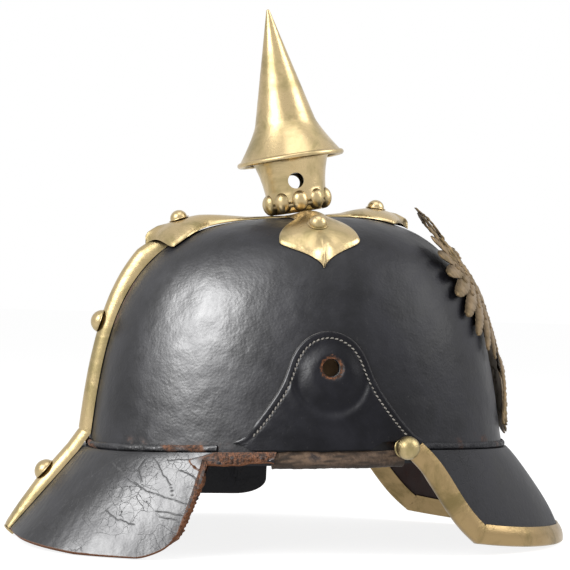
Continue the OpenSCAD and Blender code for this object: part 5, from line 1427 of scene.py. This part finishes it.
# Operators
class HELMET_OT_stage(bpy.types.Operator):
    """Camera at the photograph's angle, pale floor, soft lamps and a white surround"""

    bl_idname = "helmet.stage"
    bl_label = "Stage"

    def execute(self, context):
        look = context.scene.stage_look
        self.camera(context)
        self.floor(context, look)
        self.surround(context, look)
        self.lamps(context, look)
        context.scene.view_settings.view_transform = "Standard"
        return {"FINISHED"}

    def camera(self, context):
        """Level camera on the helmet's right side, turned a little behind it."""
        camera = bpy.data.objects.new("camera", bpy.data.cameras.new("camera"))
        context.scene.collection.objects.link(camera)
        context.scene.camera = camera
        c, s = np.cos(CAMERA_TURN), np.sin(CAMERA_TURN)
        forward, up, origin = at(s, c, 0.0), np.array([0, 0, 1.0]), stand(np.zeros(3))
        axes = [Vector(stand(v) - origin).normalized() for v in (np.cross(forward, up), up, -forward)]
        camera.rotation_euler = Matrix(axes).transposed().to_euler()
        camera.location = stand(at(-CAMERA_FAR * s, -CAMERA_FAR * c, CAMERA_UP))
        camera.data.sensor_width = SENSOR_MM
        camera.data.lens = SENSOR_MM * PHOTO_FOCAL / PHOTO_SIDE
        camera.data.shift_y = PHOTO_SHIFT / PHOTO_SIDE
        camera.data.clip_start, camera.data.clip_end = 0.05, 30

    @staticmethod
    def white_rays(tree):
        """1 for camera, glossy and transmission rays, which show the plain white background."""
        rays = put(tree, "ShaderNodeLightPath").outputs
        seen = maths(tree, "MAXIMUM", rays["Is Camera Ray"], rays["Is Glossy Ray"])
        return maths(tree, "MAXIMUM", seen, rays["Is Transmission Ray"])

    def floor(self, context, look):
        """Wide matt floor. To the rays that show the background it is darker and glows, so that it is white
        and keeps the helmet's shadow."""
        size = 12.0
        corners = [(-size, -size, 0), (size, -size, 0), (size, size, 0), (-size, size, 0)]
        mesh = bpy.data.meshes.new("floor")
        mesh.from_pydata(corners, [], [(0, 1, 2, 3)])
        floor = bpy.data.objects.new("floor", mesh)
        floor.location.z = -0.0005
        context.scene.collection.objects.link(floor)
        material = bpy.data.materials.new("floor")
        material.use_nodes = True
        tree = material.node_tree
        shader = tree.nodes["Principled BSDF"]
        white = self.white_rays(tree)
        seen = blend_colours(tree, white, rgba(look.floor), rgba(look.floor, 0.45))
        tree.links.new(seen, shader.inputs["Base Color"])
        shader.inputs["Roughness"].default_value = 0.95
        shader.inputs["Specular IOR Level"].default_value = 0.0
        glow = put(tree, "ShaderNodeEmission", {"Color": (1, 1, 1, 1), "Strength": 0.86})
        both = put(tree, "ShaderNodeAddShader", {0: shader.outputs[0], 1: glow.outputs[0]}).outputs[0]
        plain = put(tree, "ShaderNodeMixShader", {0: white, 1: shader.outputs[0], 2: both}).outputs[0]
        tree.links.new(plain, tree.nodes["Material Output"].inputs["Surface"])
        mesh.materials.append(material)

    def lamps(self, context, look):
        """Three soft lamps, and a panel that gives no diffuse light and reaches the black leather alone,
        where it shows as a highlight."""
        lamps = (("left lamp", (-0.64, 0.92, 0.78), (-0.05, 0.05, 0.13), (0.8, 0.8), look.left_lamp),
                 ("right lamp", (-0.30, -0.95, 0.75), (0, 0, 0.13), (0.6, 0.8), look.right_lamp),
                 ("top lamp", (-0.35, 0.0, 1.15), (0, 0, 0.1), (0.7, 0.7), look.top_lamp),
                 ("leather sheen", (-0.58, 0.98, 0.84), (-0.07, 0.09, 0.13), (0.75, 0.8), look.sheen))
        for name, where, target, size, power in lamps:
            lamp = bpy.data.objects.new(name, bpy.data.lights.new(name, "AREA"))
            context.scene.collection.objects.link(lamp)
            lamp.data.shape, lamp.data.size, lamp.data.size_y = "RECTANGLE", *size
            lamp.data.energy = power
            lamp.location = where
            lamp.rotation_euler = (Vector(where) - Vector(target)).to_track_quat("Z", "Y").to_euler()
        sheen = bpy.data.objects["leather sheen"]
        sheen.visible_diffuse = False
        sheen.light_linking.receiver_collection = bpy.data.collections.new(SHEEN_LIT)

    def surround(self, context, look):
        """White to the rays that show the background, and a weaker light from all round to the others."""
        world = bpy.data.worlds.new("surround")
        context.scene.world = world
        world.use_nodes = True
        tree = world.node_tree
        plain = tree.nodes["Background"]
        plain.inputs["Color"].default_value = (1, 1, 1, 1)
        strength = blend_floats(tree, self.white_rays(tree), look.fill, 1.0)
        tree.links.new(strength, plain.inputs["Strength"])


class HELMET_OT_skull(bpy.types.Operator):
    """Leather dome with soft dents and the rosette holes"""

    bl_idname = "helmet.skull"
    bl_label = "Skull"

    def execute(self, context):
        outer, inner, mark = skull_shape(context.scene.helmet_look)
        skull = piece("skull_leather", shell(outer, inner, True), "skull", slot="black_leather",
                      replaces=["skull"], marks={"mark": mark})
        bored(skull, rosette_drills())
        return {"FINISHED"}


class HELMET_OT_patches(bpy.types.Operator):
    """Side patches with their bosses and stitches"""

    bl_idname = "helmet.patches"
    bl_label = "Side patches"

    def execute(self, context):
        look = context.scene.helmet_look
        for side, word in ((-1, "right"), (1, "left")):
            outer, inner, edge = patch_shape(side, look.stitch_in)
            hole = np.hypot(-outer[..., 1] - SKULL_MID, outer[..., 2] - ROSETTE_UP) - ROSETTE_R
            rust = clamp(1.35 - hole / 1.5 + 0.5 * waves(outer, 1.6, 92)) * (hole > -0.2)
            patch = piece("patch_" + word, shell(outer, inner), "patch", slot="black_leather",
                          replaces=["side_patch_" + word], marks={"edge": edge, "mark": rust})
            bored(patch, rosette_drills())
            piece("stitches_" + word, stitches(side, look), "thread", slot="pale_leather", sharp=80)
        return {"FINISHED"}


class HELMET_OT_front_peak(bpy.types.Operator):
    """Front peak with its lining and brass trim"""

    bl_idname = "helmet.front_peak"
    bl_label = "Front peak"

    def execute(self, context):
        piece("peak_leather", shell(*peak_shape()), "peak", slot="black_leather", replaces=["front_peak"])
        piece("peak_lining", shell(*lining_shape()), "lining", slot="lining", replaces=["front_peak_lining"])
        piece("peak_trim", shell(*trim_shape()), "dull brass", slot="brass", replaces=["front_peak_trim"],
              sharp=50)
        return {"FINISHED"}


class HELMET_OT_neck_guard(bpy.types.Operator):
    """Torn neck guard with its cracked lacquer and the raw fringe of the tear"""

    bl_idname = "helmet.neck_guard"
    bl_label = "Neck guard"

    def execute(self, context):
        outer, inner, edge, mark, crack = guard_shape()
        piece("guard_leather", shell(outer, inner), "guard", slot="black_leather", replaces=["neck_guard"],
              marks={"edge": edge, "mark": mark, "crack": crack}, bevel=0.5)
        fringe = fringe_shape()
        verts = fringe.reshape(-1, 3)
        piece("torn_fringe", (verts, outward(verts, capped(*fringe.shape[:2]))), "hide", slot="brown_leather",
              merge=True)
        return {"FINISHED"}


class HELMET_OT_edges(bpy.types.Operator):
    """Welts over the seams and the worn bindings of the rim"""

    bl_idname = "helmet.edges"
    bl_label = "Welts and bindings"

    def execute(self, context):
        for word, start, stop, seed, ripple, worn in (
                ("front", -FRONT_WELT_AZ, FRONT_WELT_AZ, 61, 0.14, 0.3),
                ("rear", REAR_WELT_AZ, 360 - REAR_WELT_AZ, 71, 0.3, 1.0)):
            outer, inner, bare = welt_shape(start, stop, seed, ripple)
            piece("welt_" + word, shell(outer, inner), "welt", slot="black_leather",
                  replaces=[word + "_welt"], marks={"mark": bare * worn})
        for word, start, stop in (("right", -PEAK_END_AZ - 0.6, GUARD_STUB_AZ - 361.2),
                                  ("left", PEAK_END_AZ + 0.6, GUARD_LEFT_AZ + 0.6)):
            # The bindings carry painted shade and dark streaks in their attribute shade
            outer, inner, shade = binding_shape(start, stop, 81)
            piece("binding_" + word, shell(outer, inner), "binding", slot="brown_leather",
                  replaces=["rim_binding_" + word], marks={"shade": shade}, sharp=60)
        return {"FINISHED"}


class HELMET_OT_spine(bpy.types.Operator):
    """Half round spine with its hook and its two studs"""

    bl_idname = "helmet.spine"
    bl_label = "Spine"

    def execute(self, context):
        piece("spine_rail", gather([shell(*spine_shape()), hook_shape()]), "brass", slot="brass",
              replaces=["rear_spine"], sharp=50)
        parts = []
        for k in SPINE_STUDS:
            _, _, n = spine_frame(np.array(k))
            verts, faces = revolve(stud_profile(STUD_R + 0.6, STUD_H, 1.25, 0.3), 56, False)
            parts.append((seated(verts, spine_pt(np.array(k), 90.0, 0.0), n), faces))
        piece("spine_stud_heads", gather(parts), "brass", slot="brass", replaces=["spine_studs"], merge=True)
        return {"FINISHED"}


class HELMET_OT_cross(bpy.types.Operator):
    """Cruciform plate with its four leaves and studs"""

    bl_idname = "helmet.cross"
    bl_label = "Cross"

    def execute(self, context):
        parts, studs = [], []
        for k in range(4):
            parts.append(shell(*arm_shape(k)))
            d, middle = np.array(ARM_STUD_AT[k]), np.array(0.0)
            along = arm_pt(k, d + 2, middle, 0.0) - arm_pt(k, d - 2, middle, 0.0)
            n = np.cross(along, arm_pt(k, d, middle + 0.1, 0.0) - arm_pt(k, d, middle - 0.1, 0.0))
            verts, faces = revolve(stud_profile(STUD_R, STUD_H), 56, False)
            studs.append((seated(verts, arm_pt(k, d, middle, CROSS_T), n * np.sign(n[2])), faces))
        piece("cross_plate", gather(parts), "brass", slot="brass", replaces=["cross_base"], sharp=60)
        piece("cross_stud_heads", gather(studs), "brass", slot="brass", replaces=["base_studs"], merge=True)
        return {"FINISHED"}


class HELMET_OT_neck(bpy.types.Operator):
    """Flared neck with its air holes and the ring of pearls"""

    bl_idname = "helmet.neck"
    bl_label = "Spike neck"

    def execute(self, context):
        profile = np.concatenate([neck_profile(0), neck_profile(NECK_T)[::-1]])
        verts, faces = revolve(profile, 128)
        neck = piece("neck_tube", (on_axis(verts), faces), "brass", slot="brass", replaces=["spike_neck"])
        turn = np.radians(VENT_TURN)
        along = 30 * np.array([np.cos(turn), -np.sin(turn), 0])
        start, end = on_axis(np.array([[0, 0, VENT_AT] - along, [0, 0, VENT_AT] + along]))
        bored(neck, [(start, end, VENT_R)])
        shape, relief = pearl_parts()
        piece("pearls", shape, "pearls", slot="brass", replaces=["pearl_ring"], marks={"relief": relief},
              merge=True)
        return {"FINISHED"}


class HELMET_OT_spike(bpy.types.Operator):
    """Hollow spike with its rolled bead, which turns on its screw"""

    bl_idname = "helmet.spike"
    bl_label = "Spike"

    def execute(self, context):
        piece("spike_shell", spike_shape(), "brass", body="spike", slot="brass", replaces=["spike_cone"],
              sharp=50)
        return {"FINISHED"}


class HELMET_OT_eagle(bpy.types.Operator):
    """Pressed eagle plate, feather by feather"""

    bl_idname = "helmet.eagle"
    bl_label = "Eagle plate"

    def execute(self, context):
        verts, faces, relief = eagle_shape()
        piece("eagle", (verts, faces), "bronze", slot="old_bronze", replaces=["eagle_plate"],
              marks={"relief": relief}, sharp=60)
        return {"FINISHED"}


class HELMET_OT_ball_studs(bpy.types.Operator):
    """Ball-headed studs at the ends of the trim"""

    bl_idname = "helmet.ball_studs"
    bl_label = "Ball studs"

    def execute(self, context):
        a = np.radians(np.linspace(-50, 89, 30))
        ball = np.stack([BALL_R * np.cos(a), BALL_R - 0.9 + BALL_R * np.sin(a)], -1)
        tab = np.array([[0, -TRIM_T - SEAT], [4.4, -TRIM_T - SEAT], [4.7, -0.6], [4.5, -0.2], [3.9, 0.1]])
        parts = []
        for side in (-1, 1):
            az = np.array(side * BALL_AZ)
            near = [wall_pt(az + da, BALL_UP + du, 0.0) for da, du in ((1, 0), (-1, 0), (0, 1), (0, -1))]
            n = unit(np.cross(near[0] - near[1], near[2] - near[3]))
            verts, faces = revolve(np.concatenate([tab, ball]), 64, False)
            parts.append((seated(verts, wall_pt(az, BALL_UP, BALL_OUT), n), faces))
        piece("ball_heads", gather(parts), "brass", slot="brass", replaces=["ball_studs"], merge=True)
        return {"FINISHED"}


class HELMET_OT_liner(bpy.types.Operator):
    """Sweatband, tongues and crown disc inside the skull"""

    bl_idname = "helmet.liner"
    bl_label = "Liner"

    def execute(self, context):
        piece("sweat_leather", shell(*band_shape(), True), "pale", slot="pale_leather",
              replaces=["sweatband"])
        piece("liner_leaves", gather([shell(*tongue_shape(k)) for k in range(TONGUES)]), "pale",
              slot="pale_leather", replaces=["liner_tongues"])
        piece("crown_washer", shell(*disc_shape(), True), "binding", slot="brown_leather",
              replaces=["crown_disc"])
        return {"FINISHED"}


class HELMET_OT_fittings(bpy.types.Operator):
    """Finishes for the nuts, loops, wedges, bridge, floor and screw, whose solids stay as they are"""

    bl_idname = "helmet.fittings"
    bl_label = "Inner fittings"

    def execute(self, context):
        for node in ("spine_nuts", "base_nuts", "ball_stud_nuts", "neck_bridge", "cone_floor", "spike_screw",
                     "plate_loops", "plate_wedges"):
            finish = "binding" if node == "plate_wedges" else "dull brass"
            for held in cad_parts[node].material_slots:
                held.material = finish_of(finish)
        return {"FINISHED"}


# The stage comes first, since the black leather joins the sheen lamp's collection
OPERATORS = (HELMET_OT_stage, HELMET_OT_skull, HELMET_OT_patches, HELMET_OT_front_peak,
             HELMET_OT_neck_guard, HELMET_OT_edges, HELMET_OT_spine, HELMET_OT_cross, HELMET_OT_neck,
             HELMET_OT_spike, HELMET_OT_eagle, HELMET_OT_ball_studs, HELMET_OT_liner, HELMET_OT_fittings)


class HELMET_PT_pieces(bpy.types.Panel):
    """Lists the operators of the helmet and its settings"""

    bl_label = "Spiked helmet"
    bl_space_type = "VIEW_3D"
    bl_region_type = "UI"
    bl_category = "Helmet"

    def draw(self, context):
        for operator in OPERATORS:
            self.layout.operator(operator.bl_idname)
        for look in (context.scene.helmet_look, context.scene.stage_look):
            for key in look.__annotations__:
                self.layout.prop(look, key)


CLASSES = (HelmetLook, StageLook, *OPERATORS, HELMET_PT_pieces)


def register():
    """Registers the classes and hangs the two sets of settings on the scene."""
    for cls in CLASSES:
        bpy.utils.register_class(cls)
    bpy.types.Scene.helmet_look = PointerProperty(type=HelmetLook)
    bpy.types.Scene.stage_look = PointerProperty(type=StageLook)


def unregister():
    """Takes the settings and the classes away again."""
    del bpy.types.Scene.stage_look
    del bpy.types.Scene.helmet_look
    for cls in reversed(CLASSES):
        bpy.utils.unregister_class(cls)


def main():
    """Makes the stage and every piece by their operators."""
    register()
    for operator in OPERATORS:
        group, name = operator.bl_idname.split(".")
        getattr(getattr(bpy.ops, group), name)()


if __name__ == "__main__":
    main()
